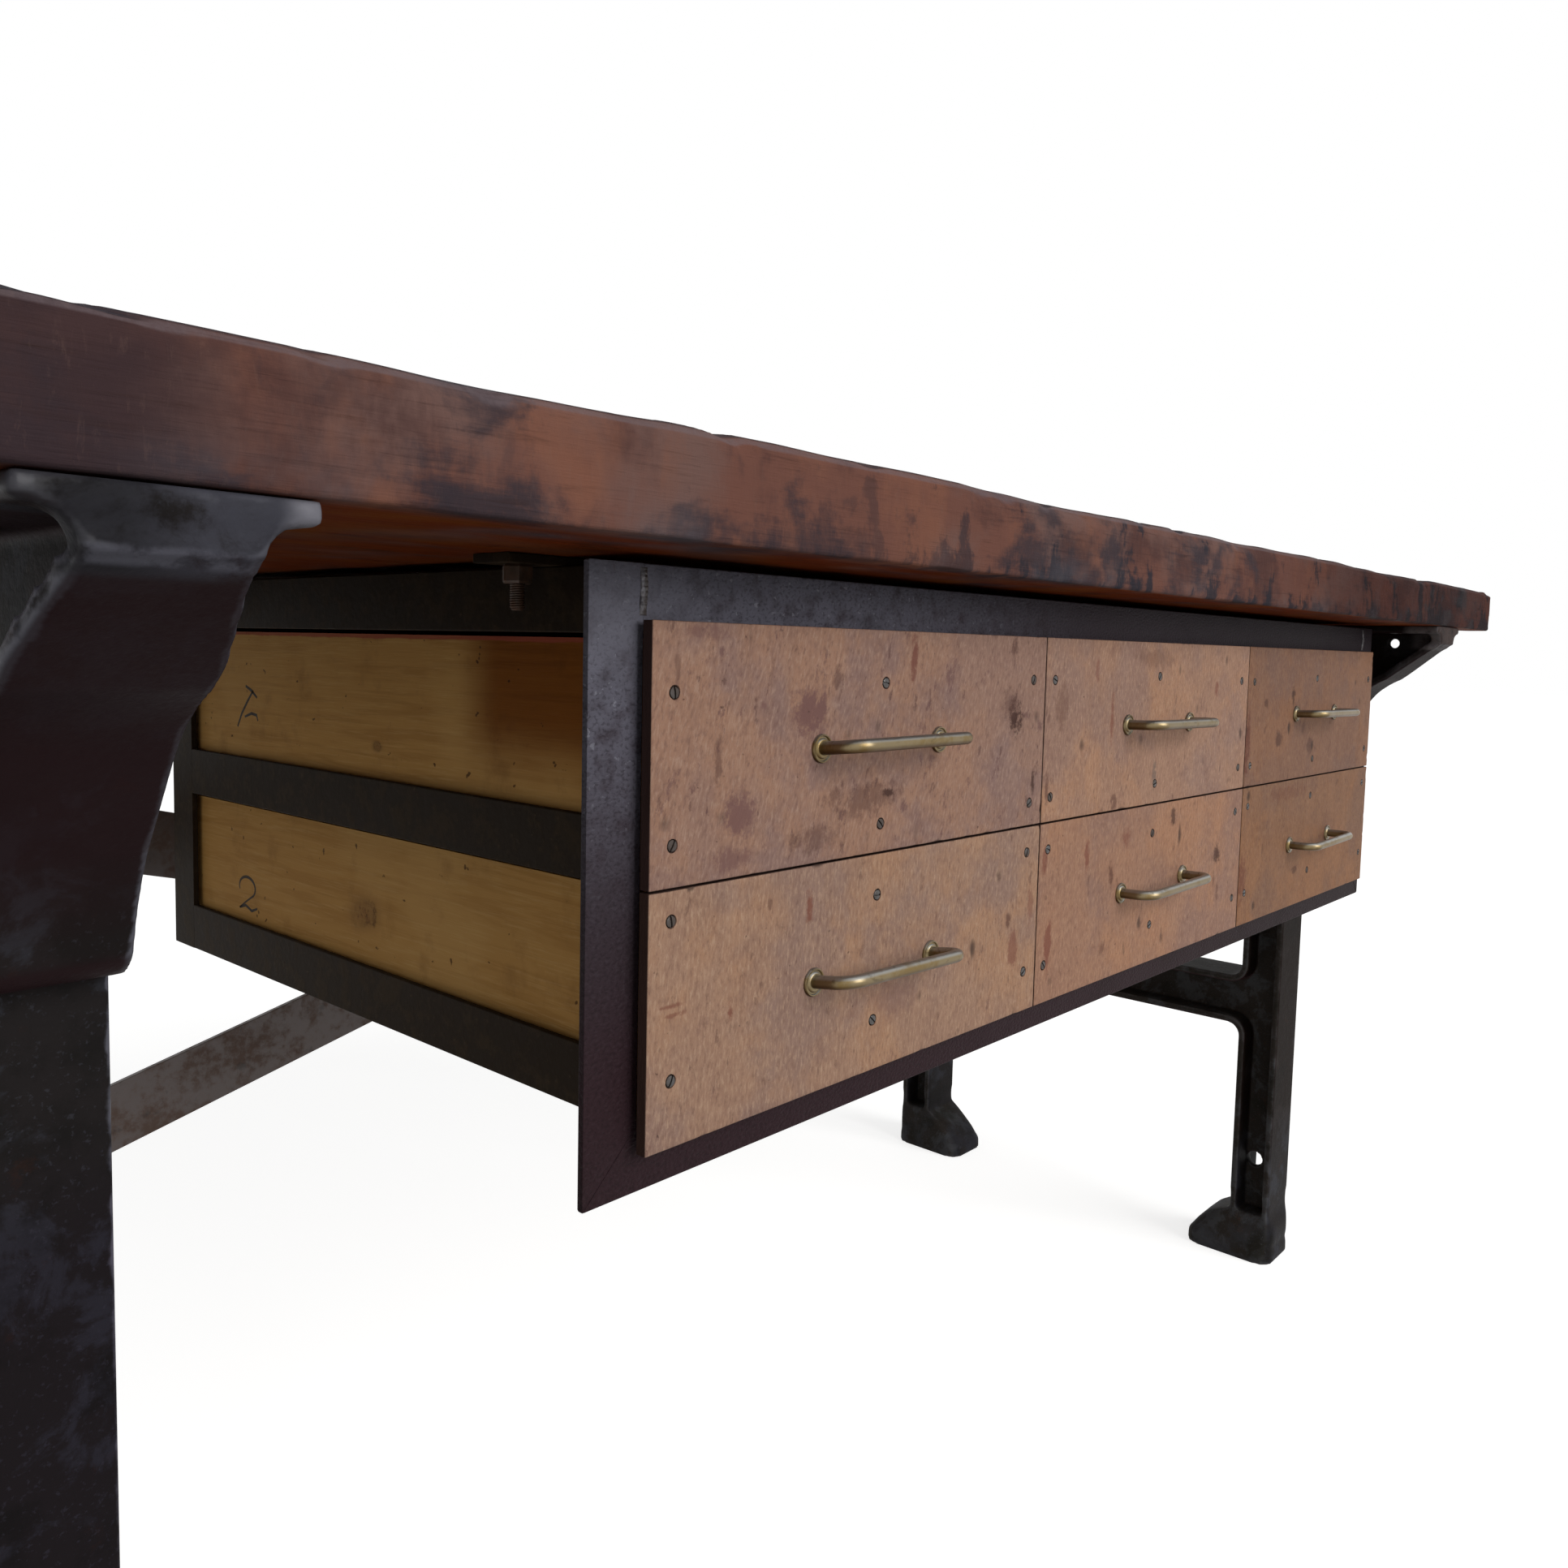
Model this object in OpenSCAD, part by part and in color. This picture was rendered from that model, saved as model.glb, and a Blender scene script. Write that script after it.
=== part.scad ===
// Industrial workbench: a thick plank top on two cast iron leg frames, with a welded
// angle iron case of six drawers hung below it.
// The origin is on the floor, in the middle of the bench: X runs along it, the front faces -Y.

/* [Plank top] */
// Height of the work surface above the floor
bench_height = 910; // [780:5:1050]
// Length of the top
top_length = 1876; // [1740:2:2300]
// Depth of the top from front to back
top_depth = 800; // [796:2:1000]
// Thickness of the planks
top_thickness = 52; // [44:1:80]
// Open joint between two planks
plank_joint = 0.5; // [0.2:0.1:0.9]

/* [Cast iron leg frames] */
// Distance between the middles of the two frames
frame_spacing = 1505; // [1480:5:1600]
// Width of the flanges along the bench
leg_width = 72; // [60:1:90]
// Depth of each leg from front to back
leg_depth = 52; // [50:1:70]
// Distance from the front leg's front face to the rear leg's rear face
leg_stance = 605; // [560:5:615]
// Distance from the top's front edge back to the front leg
leg_setback = 170; // [150:2:180]
// Thickness of the flanges
flange_wall = 9; // [7:0.5:12]
// Thickness of the web
web_wall = 10; // [7:0.5:14]
// Width of the pad that carries the top
pad_width = 95; // [84:1:120]
// Thickness of the pad
pad_lip = 9; // [8:0.5:12]
// Width of the bracket's flange at its nose
nose_width = 56; // [44:1:60]
// Distance from the top's front edge back to the bracket's nose
nose_setback = 3; // [2:1:20]
// Height of the bracket below the top
bracket_drop = 190; // [170:2:230]
// Depth of the beam under the pad
beam_depth = 95; // [85:1:120]
// Height of the cross member's upper face above the floor
cross_height = 385; // [360:5:400]
// Depth of the cross member
cross_depth = 65; // [50:1:80]
// Diameter of the hole through the web of each leg
leg_hole_d = 20; // [10:1:22]
// Height of that hole above the floor
leg_hole_height = 129; // [100:1:200]
// Distance of that hole from the leg's outer face
leg_hole_inset = 32; // [26:1:33]
// Diameter of the hole through the web of the bracket
nose_hole_d = 12; // [8:1:16]

/* [Feet] */
// Length of each foot from front to back
foot_length = 117; // [90:1:140]
// Width of each foot along the bench
foot_width = 84; // [76:1:100]
// Height of the foot's toe
toe_height = 16; // [12:1:30]
// Height at which the foot has narrowed to the leg
foot_height = 64; // [45:1:80]
// Distance that the foot stands proud of the leg's outer face
foot_heel = 6; // [2:1:12]

/* [Rear braces] */
// Width of the flat brace bars
brace_width = 60; // [40:1:70]
// Thickness of the flat brace bars
brace_wall = 6; // [4:0.5:8]
// Height of a bar's lower bolt above the floor
brace_low = 315; // [260:5:400]
// Height of a bar's upper bolt above the floor
brace_high = 690; // [600:5:740]

/* [Drawer case] */
// Length of the case along the bench
case_length = 1213; // [1000:1:1240]
// Height of the case
case_height = 324; // [280:1:380]
// Depth of the case without the drawer fronts
case_depth = 558; // [480:2:600]
// Distance of the case's middle to the right of the bench's middle
case_offset = 70; // [0:1:80]
// Distance from the top's front edge back to the case
case_setback = 70; // [60:1:90]
// Air gap between the top and the case
case_gap = 5; // [3:0.5:12]
// Leg of the angle irons
angle_leg = 35; // [30:1:40]
// Thickness of the angle irons
angle_wall = 4; // [3:0.5:5]
// Width of the flange of the tee irons between the drawers
tee_flange = 44; // [30:1:50]

/* [Drawers] */
// Width of the case's posts that the drawer fronts leave in view
post_margin = 30; // [24:0.5:34]
// Height of the case's upper rail that the drawer fronts leave in view
upper_margin = 28; // [20:0.5:34]
// Height of the case's lower rail that the drawer fronts leave in view
lower_margin = 23; // [15:0.5:30]
// Joint between neighbouring drawer fronts
front_joint = 1; // [0.6:0.1:3]
// Thickness of the drawer fronts
front_wall = 7; // [6:0.5:10]
// Distance of the drawer fronts from the face of the case
front_standoff = 5; // [3:0.5:8]
// Distance from the side of a front to the side of its box
box_inset = 8; // [7:0.5:12]
// Thickness of the box's sides and of its inner front and back
box_wall = 14; // [10:0.5:16]
// Thickness of the box's bottom
bottom_wall = 5; // [3:0.5:8]

/* [Handles] */
// Distance between the handle's two feet
handle_span = 118; // [90:1:160]
// Diameter of the handle's rod
handle_d = 8; // [6:0.5:10]
// Distance from the drawer front to the middle of the handle's rod
handle_reach = 27; // [22:1:40]
// Radius of the handle's bends
handle_bend = 12; // [7:0.5:16]
// Diameter of the rosettes under the handle's feet
rosette_d = 17; // [13:0.5:22]

/* [Fasteners] */
// Diameter of the wood screws' slotted heads
screw_head_d = 7; // [6:0.5:9]
// Diameter of the wood screws' shanks
screw_d = 3.6; // [3:0.2:4.5]
// Length of the wood screws
screw_length = 19; // [14:1:20]
// Diameter of the bolts in the leg frames
bolt_d = 12; // [8:0.5:14]
// Diameter of the bolts that hang the case
hanger_d = 8; // [6:0.5:10]

/* [Hidden] */
ROWS = ["upper", "lower"];
COLUMNS = ["left", "middle", "right"];
SIDES = ["left", "right"];
LEVELS = ["top", "middle", "bottom"];
PLANKS = ["front", "middle", "rear"];
DRAWER_PIECES = ["front", "box", "bottom", "handle", "screws"];
$fn = 48;

// Colours of the pieces
WOOD_TOP = "#4a2419";
CAST_IRON = "#1d1a1a";
CASE_PAINT = "#38323a";
FRONT_WOOD = "#b08a6c";
PINE = "#b9935c";
BRASS = "#8f7c4a";
BRACE_STEEL = "#4b403d";
BOLT_STEEL = "#5a4436";

// Clearances: round a shank, under and behind a drawer box, and between glued boards
shank_clear = 0.2;
runner_clear = 0.3;
board_joint = 0.1;
cut = 1;

// Places on the bench
under_z = bench_height - top_thickness;
top_front_y = -top_depth / 2;
plank_depth = (top_depth - (len(PLANKS) - 1) * plank_joint) / len(PLANKS);

// Leg frame: front and rear faces of the legs, and the pad's ends
front_leg_y = top_front_y + leg_setback;
rear_leg_y = front_leg_y + leg_stance;
nose_y = top_front_y + nose_setback;
pad_rear_lip = 15;
nose_step = 1;
nose_block = 12;
nose_taper = [12, 50];
cove_foot = 13;
cove_reach = 13;
window_top = under_z - beam_depth;
cross_bottom = cross_height - cross_depth;
window_fillet = 16;
beam_fillet = 44;
foot_base = 10;
foot_corner = 20;
instep = [[0.2, 0.29], [0.45, 0.62]];
bracket_step = 22;
elbow_out = 82;
elbow_drop = 81;
nose_hole_y = front_leg_y - 106;
nose_hole_z = under_z - 21;

// Pad bolts, one pair near each end of a frame's beam
pad_bolt_x = pad_width / 4 + 3;
pad_seat = max(pad_lip, flange_wall);
pad_bolt_ys = [front_leg_y - 42, (front_leg_y + rear_leg_y) / 2, rear_leg_y - 42];
pad_bolt_wood = 30;
bolt_head_h = 8;
bolt_head_r = 0.92 * bolt_d;

// Brace bolts stand beside the frame's web, in the rear flange
brace_bolt_x = frame_spacing / 2 - leg_width / 4 - web_wall / 4;
brace_angle = atan((brace_high - brace_low) / (2 * brace_bolt_x));
brace_length = 2 * brace_bolt_x / cos(brace_angle) + brace_width;
brace_middle_z = (brace_low + brace_high) / 2;

// Drawer case
case_x0 = case_offset - case_length / 2;
case_x1 = case_x0 + case_length;
case_y0 = top_front_y + case_setback;
case_y1 = case_y0 + case_depth;
case_top = under_z - case_gap;
case_bottom = case_top - case_height;
rear_face_y = case_y1 - angle_wall;
side_face_x = angle_leg - angle_wall;
runner_base = case_bottom + angle_leg;
tee_web = angle_wall + 1;
rear_divider_w = 40;
rear_rail_h = angle_leg + 5;
weld_r = 2.5;

// Drawers: a front covers its share of the case, and a box runs on the irons behind it
column_pitch = (case_length - 2 * post_margin) / len(COLUMNS);
front_w = column_pitch - front_joint;
front_h = (case_height - upper_margin - lower_margin - front_joint) / len(ROWS);
front_back_y = case_y0 - front_standoff;
front_face_y = front_back_y - front_wall;
runner_headroom = 3;
rail_headroom = 2.5;
upper_box_extra = 6.2;
box_room = case_height - 2 * angle_leg - 2 * angle_wall - runner_clear - runner_headroom - rail_headroom;
box_h = (box_room - upper_box_extra) / 2;
row_pitch = box_h + angle_wall + runner_headroom;
box_w = front_w - 2 * box_inset;
box_rear_y = rear_face_y - runner_clear;
box_l = box_rear_y - front_back_y;
bottom_raise = 8;
groove = 5;
groove_clear = 0.15;
screw_inset = 16.5;
screw_head_h = 1.5;
screw_slot = 1;
screw_turn = 7;
kicker_gap = 2;

// Handles stand on studs that pass through the front and the box
stud_d = 4;
stud_nut_r = 4.5;
stud_nut_h = 3;
rosette_h = 2.5;

// Hanging lugs and bolts
lug_w = 32;
lug_reach = 34;
lug_hold = 20;
hanger_x = 14;
hanger_y = 76;
hanger_nut = 15;
hanger_nut_h = 10;
hanger_below = 24;
hanger_wood = 32;

function point_on(a, b, c, t) = (1 - t) * (1 - t) * a + 2 * t * (1 - t) * b + t * t * c;
function bend(a, b, c, steps = 6) = [for (i = [0 : steps]) point_on(a, b, c, i / steps)];
function corner(x, y, r, from, to, steps = 6) =
    [for (i = [0 : steps]) let (a = from + (to - from) * i / steps) [x + r * cos(a), y + r * sin(a)]];
function side_sign(side) = side == SIDES[0] ? -1 : 1;
function index(list, name) = search([name], list)[0];
function column_x(column) = case_x0 + post_margin + index(COLUMNS, column) * column_pitch + front_joint / 2;
function divider_x(i) = case_x0 + post_margin + i * column_pitch;
function front_z(row) = case_top - upper_margin - index(ROWS, row) * (front_h + front_joint) - front_h;
function runner_z(row) = runner_base + (row == "upper" ? row_pitch : 0);
function box_z(row) = runner_z(row) + angle_wall + runner_clear;
function box_top(row) = box_z(row) + box_h + (row == "upper" ? upper_box_extra : 0);

// A block given by its lowest and highest corners
module block(low, high) {
    translate(low) cube(high - low);
}

// The hex head and shank of a bolt that points along +Z, its bearing face at zero
module bolt(d, head_r, head_h, shank) {
    translate([0, 0, -head_h]) cylinder(r = head_r, h = head_h, $fn = 6);
    cylinder(d = d, h = shank);
}

// Everything on the left of a centre line at x, and its mirror image
module both_sides(x) {
    children();
    translate([2 * x, 0, 0]) mirror([1, 0, 0]) children();
}

// Plank top

module pad_bolt_holes(d) {
    for (s = [-1, 1]) for (dx = [-pad_bolt_x, pad_bolt_x]) for (y = pad_bolt_ys)
        translate([s * frame_spacing / 2 + dx, y, under_z - pad_seat - cut])
            cylinder(d = d, h = pad_seat + pad_bolt_wood + 2 * cut);
}

module hanger_places() {
    for (x = [case_x0 + hanger_x, case_x1 - hanger_x]) for (y = [case_y0 + hanger_y, case_y1 - hanger_y])
        translate([x, y, case_top]) children();
}

module top_plank(place) {
    y = top_front_y + index(PLANKS, place) * (plank_depth + plank_joint);
    color(WOOD_TOP) difference() {
        block([-top_length / 2, y, under_z], [top_length / 2, y + plank_depth, bench_height]);
        pad_bolt_holes(bolt_d + 2 * shank_clear);
        hanger_places() cylinder(d = hanger_d + 2 * shank_clear, h = case_gap + hanger_wood + cut);
    }
}

// Cast iron leg frames, drawn in the plane of depth and height

module frame_outline() {
    y = front_leg_y;
    z = under_z;
    polygon(concat(
        [[nose_y, z], [nose_y, z - pad_lip]],
        bend([nose_y + nose_step, z - pad_lip - 3], [nose_y + nose_step, z - 24], [nose_y + 13, z - 29], 4),
        bend([y - elbow_out - 26, z - elbow_drop + 15], [y - elbow_out, z - elbow_drop + 3],
             [y - elbow_out + 12, z - elbow_drop - 17]),
        bend([y - 45, z - 0.71 * bracket_drop], [y - 32, z - 0.84 * bracket_drop],
             [y - 29, z - 0.93 * bracket_drop], 4),
        bend([y - 28, z - 0.95 * bracket_drop], [y - bracket_step, z - bracket_drop],
             [y - bracket_step + 8, z - bracket_drop], 4),
        [[y, z - bracket_drop], [y, foot_base], [rear_leg_y, foot_base]],
        bend([rear_leg_y, z - pad_lip - 24], [rear_leg_y + 3, z - pad_lip - 6],
             [rear_leg_y + pad_rear_lip, z - pad_lip], 4),
        [[rear_leg_y + pad_rear_lip, z]]
    ));
}

module frame_windows() {
    y0 = front_leg_y + leg_depth;
    y1 = rear_leg_y - leg_depth;
    polygon(concat(
        corner(y0 + window_fillet, cross_height + window_fillet, window_fillet, 180, 270),
        corner(y1 - window_fillet, cross_height + window_fillet, window_fillet, 270, 360),
        corner(y1 - beam_fillet, window_top - beam_fillet, beam_fillet, 0, 90),
        corner(y0 + beam_fillet, window_top - beam_fillet, beam_fillet, 90, 180)
    ));
    polygon(concat(
        [[y0, 0], [y1, 0]],
        corner(y1 - window_fillet, cross_bottom - window_fillet, window_fillet, 0, 90),
        corner(y0 + window_fillet, cross_bottom - window_fillet, window_fillet, 90, 180)
    ));
}

module frame_face() {
    difference() {
        frame_outline();
        frame_windows();
    }
}

module along_x(width) {
    rotate([90, 0, 90]) linear_extrude(width, center = true) children();
}

// One foot: a toe plate with round corners and an instep that swells up to the leg
module foot(leg_y, toe_sign) {
    low_y = toe_sign > 0 ? leg_y - foot_heel : leg_y + leg_depth + foot_heel - foot_length;
    high_y = low_y + foot_length;
    toe_room = foot_length - foot_heel - leg_depth;
    rise = foot_height - toe_height;
    w = foot_width / 2;
    outline = concat(
        corner(w - foot_corner, high_y - foot_corner, foot_corner, 0, 90, 8),
        corner(foot_corner - w, high_y - foot_corner, foot_corner, 90, 180, 8),
        corner(foot_corner - w, low_y + foot_corner, foot_corner, 180, 270, 8),
        corner(w - foot_corner, low_y + foot_corner, foot_corner, 270, 360, 8)
    );
    linear_extrude(toe_height) polygon(outline);
    hull() {
        translate([0, 0, toe_height - 2]) linear_extrude(4) offset(delta = -3) polygon(outline);
        for (k = instep) translate([0, -toe_sign * k[0] * toe_room / 2, toe_height + k[1] * rise])
            linear_extrude(1) offset(delta = -k[0] * toe_room / 2) polygon(outline);
        block([-leg_width / 2, leg_y, toe_height], [leg_width / 2, leg_y + leg_depth, foot_height]);
    }
}

// The flanges seen from above: they narrow from the leg's width towards the nose
module flange_plan() {
    wide = leg_width / 2;
    slim = nose_width / 2;
    end_y = rear_leg_y + pad_rear_lip + cut;
    linear_extrude(bench_height) polygon([
        [-slim, nose_y - cut], [slim, nose_y - cut], [slim, nose_y + nose_taper[0]],
        [wide, nose_y + nose_taper[1]], [wide, end_y], [-wide, end_y],
        [-wide, nose_y + nose_taper[1]], [-slim, nose_y + nose_taper[0]]
    ]);
}

// The nose's face spreads in a hollow curve from the flange's width to the pad
module nose_cove() {
    slim = nose_width / 2;
    half = bend([slim, -pad_lip - cove_foot], [slim + 1, -pad_lip - 1], [slim + cove_reach, -pad_lip]);
    translate([0, nose_y + nose_step + nose_block, under_z]) rotate([90, 0, 0]) linear_extrude(nose_block)
        polygon(concat(half, [for (i = [len(half) - 1 : -1 : 0]) [-half[i].x, half[i].y]]));
}

module leg_frame(side) {
    color(CAST_IRON) translate([side_sign(side) * frame_spacing / 2, 0, 0]) difference() {
        union() {
            along_x(web_wall) frame_face();
            intersection() {
                along_x(leg_width) difference() {
                    frame_face();
                    offset(delta = -flange_wall) frame_face();
                }
                flange_plan();
            }
            block([-pad_width / 2, nose_y, under_z - pad_lip],
                  [pad_width / 2, rear_leg_y + pad_rear_lip, under_z]);
            nose_cove();
            foot(front_leg_y, 1);
            foot(rear_leg_y - leg_depth, -1);
        }
        for (dx = [-pad_bolt_x, pad_bolt_x]) for (y = pad_bolt_ys)
            translate([dx, y, under_z - pad_seat - cut])
                cylinder(d = bolt_d + 2 * shank_clear, h = pad_seat + 2 * cut);
        for (y = [front_leg_y + leg_hole_inset, rear_leg_y - leg_hole_inset])
            translate([-web_wall, y, leg_hole_height]) rotate([0, 90, 0])
                cylinder(d = leg_hole_d, h = 2 * web_wall);
        translate([-web_wall, nose_hole_y, nose_hole_z]) rotate([0, 90, 0])
            cylinder(d = nose_hole_d, h = 2 * web_wall);
        for (z = [brace_low, brace_high])
            translate([side_sign(side) * (brace_bolt_x - frame_spacing / 2), rear_leg_y + cut, z])
                rotate([90, 0, 0]) cylinder(d = bolt_d + 2 * shank_clear, h = flange_wall + 2 * cut);
    }
}

module leg_pad_bolts() {
    color(BOLT_STEEL) for (s = [-1, 1]) for (dx = [-pad_bolt_x, pad_bolt_x]) for (y = pad_bolt_ys)
        translate([s * frame_spacing / 2 + dx, y, under_z - pad_seat])
            bolt(bolt_d, bolt_head_r, bolt_head_h, pad_seat + pad_bolt_wood);
}

// Rear braces: two flat bars that cross behind the rear legs

module brace_bar(slope, layer) {
    y = rear_leg_y + layer * brace_wall;
    color(BRACE_STEEL) difference() {
        translate([0, y, brace_middle_z]) rotate([0, -slope * brace_angle, 0])
            translate([-brace_length / 2, 0, -brace_width / 2])
                cube([brace_length, brace_wall, brace_width]);
        for (x = [-brace_bolt_x, 0, brace_bolt_x])
            translate([x, y + brace_wall + cut, brace_middle_z + slope * x * tan(brace_angle)])
                rotate([90, 0, 0]) cylinder(d = bolt_d + 2 * shank_clear, h = brace_wall + 2 * cut);
    }
}

// A bolt through the braces with its nut, and a spacer where a bar stands off the leg
module brace_bolt(x, z, head_y, nut_y, spacer) {
    translate([x, head_y, z]) rotate([90, 0, 0])
        bolt(bolt_d, bolt_head_r, bolt_head_h, head_y - nut_y + bolt_head_h + 4);
    translate([x, nut_y, z]) rotate([90, 0, 0]) difference() {
        cylinder(r = bolt_head_r, h = bolt_head_h, $fn = 6);
        translate([0, 0, -cut]) cylinder(d = bolt_d + shank_clear, h = bolt_head_h + 2 * cut);
    }
    if (spacer) translate([x, rear_leg_y + brace_wall, z]) rotate([90, 0, 0]) difference() {
        cylinder(d = 2 * bolt_d, h = brace_wall);
        translate([0, 0, -cut]) cylinder(d = bolt_d + 2 * shank_clear, h = brace_wall + 2 * cut);
    }
}

module brace_bolts() {
    inner_y = rear_leg_y - flange_wall;
    color(BOLT_STEEL) {
        brace_bolt(-brace_bolt_x, brace_low, rear_leg_y + brace_wall, inner_y, false);
        brace_bolt(brace_bolt_x, brace_high, rear_leg_y + brace_wall, inner_y, false);
        brace_bolt(brace_bolt_x, brace_low, rear_leg_y + 2 * brace_wall, inner_y, true);
        brace_bolt(-brace_bolt_x, brace_high, rear_leg_y + 2 * brace_wall, inner_y, true);
        brace_bolt(0, brace_middle_z, rear_leg_y + 2 * brace_wall, rear_leg_y, false);
    }
}

// Angle iron case

// Puts a piece that is drawn at the case's left end on the side that it belongs to
module on_side(side) {
    if (side == SIDES[0]) translate([case_x0, 0, 0]) children();
    else translate([case_x1, 0, 0]) mirror([1, 0, 0]) children();
}

module case_post_front(side) {
    color(CASE_PAINT) on_side(side) {
        translate([0, case_y0 + angle_wall, 0]) rotate([90, 0, 0]) linear_extrude(angle_wall)
            polygon([[0, case_bottom], [angle_leg, runner_base], [angle_leg, case_top], [0, case_top]]);
        block([side_face_x, case_y0, runner_base], [angle_leg, case_y0 + angle_leg, case_top]);
    }
}

module case_post_rear(side) {
    color(CASE_PAINT) on_side(side) {
        block([side_face_x, case_y1 - angle_leg, runner_base], [angle_leg, case_y1, case_top]);
        block([side_face_x, rear_face_y, runner_base], [side_face_x + angle_leg, case_y1, case_top]);
    }
}

module case_rail_front_top() {
    x0 = case_x0 + angle_leg;
    x1 = case_x1 - angle_leg;
    color(CASE_PAINT) {
        block([x0, case_y0, case_top - angle_leg], [x1, case_y0 + angle_wall, case_top]);
        block([x0, case_y0, case_top - angle_wall], [x1, case_y0 + angle_leg, case_top]);
    }
}

module case_rail_front_bottom() {
    x0 = case_x0 + angle_leg;
    x1 = case_x1 - angle_leg;
    color(CASE_PAINT) {
        translate([0, case_y0 + angle_wall, 0]) rotate([90, 0, 0]) linear_extrude(angle_wall)
            polygon([[case_x0, case_bottom], [case_x1, case_bottom], [x1, runner_base], [x0, runner_base]]);
        block([x0, case_y0, runner_base - angle_wall], [x1, case_y0 + angle_leg, runner_base]);
    }
}

// The rear rails and the plates between them also stop the drawers, so they stand behind the boxes
module case_rail_rear(heel_z, face_z) {
    x0 = case_x0 + side_face_x + angle_leg;
    x1 = case_x1 - side_face_x - angle_leg;
    color(CASE_PAINT) {
        block([x0, rear_face_y, face_z], [x1, case_y1, face_z + rear_rail_h]);
        block([x0, case_y1 - angle_leg, heel_z], [x1, case_y1, heel_z + angle_wall]);
    }
}

// A round bead of weld down each butt joint of the upper rail
module case_corner_welds() {
    color(CASE_PAINT) for (x = [case_x0 + angle_leg, case_x1 - angle_leg]) intersection() {
        translate([x, case_y0, case_top - upper_margin + 2]) cylinder(r = weld_r, h = upper_margin - 4);
        block([x - weld_r, case_y0 - weld_r, case_bottom], [x + weld_r, case_y0, case_top]);
    }
}

// The irons along the case's sides: the top one has its flat leg up, the others carry drawers on it
module side_angle(side, level) {
    z = level == "bottom" ? runner_base : level == "middle" ? runner_base + row_pitch : case_top - angle_leg;
    flat_z = level == "top" ? case_top - angle_wall : z;
    y0 = case_y0 + angle_leg;
    y1 = case_y1 - angle_leg;
    color(CASE_PAINT) on_side(side) {
        block([side_face_x, y0, z], [angle_leg, y1, z + angle_leg]);
        block([side_face_x, y0, flat_z], [side_face_x + angle_leg, y1, flat_z + angle_wall]);
    }
}

module case_dividers_front() {
    color(CASE_PAINT) for (i = [1, 2])
        block([divider_x(i) - tee_web / 2, case_y0, runner_base],
              [divider_x(i) + tee_web / 2, case_y0 + angle_leg, case_top - angle_leg]);
}

module case_dividers_rear() {
    color(CASE_PAINT) for (i = [1, 2])
        block([divider_x(i) - rear_divider_w / 2, rear_face_y, runner_base + rear_rail_h],
              [divider_x(i) + rear_divider_w / 2, case_y1, case_top - rear_rail_h]);
}

// A pair of tee irons, one between each two columns, with their flanges down
module tee_pair(z, height, rear_y) {
    y0 = case_y0 + angle_leg;
    for (x = [divider_x(1), divider_x(2)]) {
        block([x - tee_web / 2, y0, z], [x + tee_web / 2, rear_y, z + height]);
        block([x - tee_flange / 2, y0, z], [x + tee_flange / 2, rear_y, z + angle_wall]);
    }
}

// The tees that the inner sides of the drawers run on
module tee_runners() {
    color(CASE_PAINT) {
        tee_pair(runner_z("upper"), angle_leg, rear_face_y);
        tee_pair(runner_z("lower"), angle_leg, case_y1 - angle_leg);
    }
}

// The tees over the upper drawers, which keep a drawn drawer from tipping
module tee_kickers() {
    z = box_top("upper") + kicker_gap;
    color(CASE_PAINT) tee_pair(z, case_top - z, case_y1 - angle_leg);
}

// The lugs lie on the side irons' flat legs and are drawn up against the planks
module hanging_lugs() {
    color(CASE_PAINT) for (side = SIDES) on_side(side)
        for (y = [case_y0 + hanger_y, case_y1 - hanger_y]) difference() {
            block([side_face_x - lug_reach, y - lug_w / 2, case_top],
                  [side_face_x + lug_hold, y + lug_w / 2, under_z]);
            translate([hanger_x, y, case_top - cut])
                cylinder(d = hanger_d + 2 * shank_clear, h = case_gap + 2 * cut);
        }
}

module hanging_bolts() {
    color(BOLT_STEEL) hanger_places() {
        translate([0, 0, -hanger_below]) cylinder(d = hanger_d, h = hanger_below + case_gap + hanger_wood);
        difference() {
            translate([0, 0, -hanger_nut_h])
                cylinder(d = hanger_nut / cos(30), h = hanger_nut_h, $fn = 6);
            translate([0, 0, -hanger_below]) cylinder(d = hanger_d + shank_clear, h = hanger_below + cut);
        }
    }
}

// Drawers

function screw_xs(column) = let (x = column_x(column) + box_inset)
    [x + box_wall / 2, x + box_w / 2, x + box_w - box_wall / 2];
function screw_zs(row) = [for (up = [screw_inset, box_h - screw_inset]) box_z(row) + up];
function handle_x(column) = column_x(column) + front_w / 2;
function handle_z(row) = front_z(row) + front_h / 2;

// Holes along Y from the drawer front's face, at the screws and at the handle's studs
module screw_holes(column, row) {
    for (x = screw_xs(column)) for (z = screw_zs(row)) translate([x, front_face_y, z]) rotate([-90, 0, 0]) {
        translate([0, 0, -cut]) cylinder(d = screw_head_d + shank_clear, h = screw_head_h + cut);
        cylinder(d = screw_d + shank_clear, h = screw_length + cut);
    }
}

module stud_holes(column, row) {
    for (s = [-1, 1]) translate([handle_x(column) + s * handle_span / 2, front_face_y - cut, handle_z(row)])
        rotate([-90, 0, 0]) cylinder(d = stud_d + 2 * shank_clear, h = front_wall + box_wall + 2 * cut);
}

module drawer_front(column, row) {
    x = column_x(column);
    z = front_z(row);
    color(FRONT_WOOD) difference() {
        block([x, front_face_y, z], [x + front_w, front_back_y, z + front_h]);
        screw_holes(column, row);
        stud_holes(column, row);
    }
}

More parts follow.
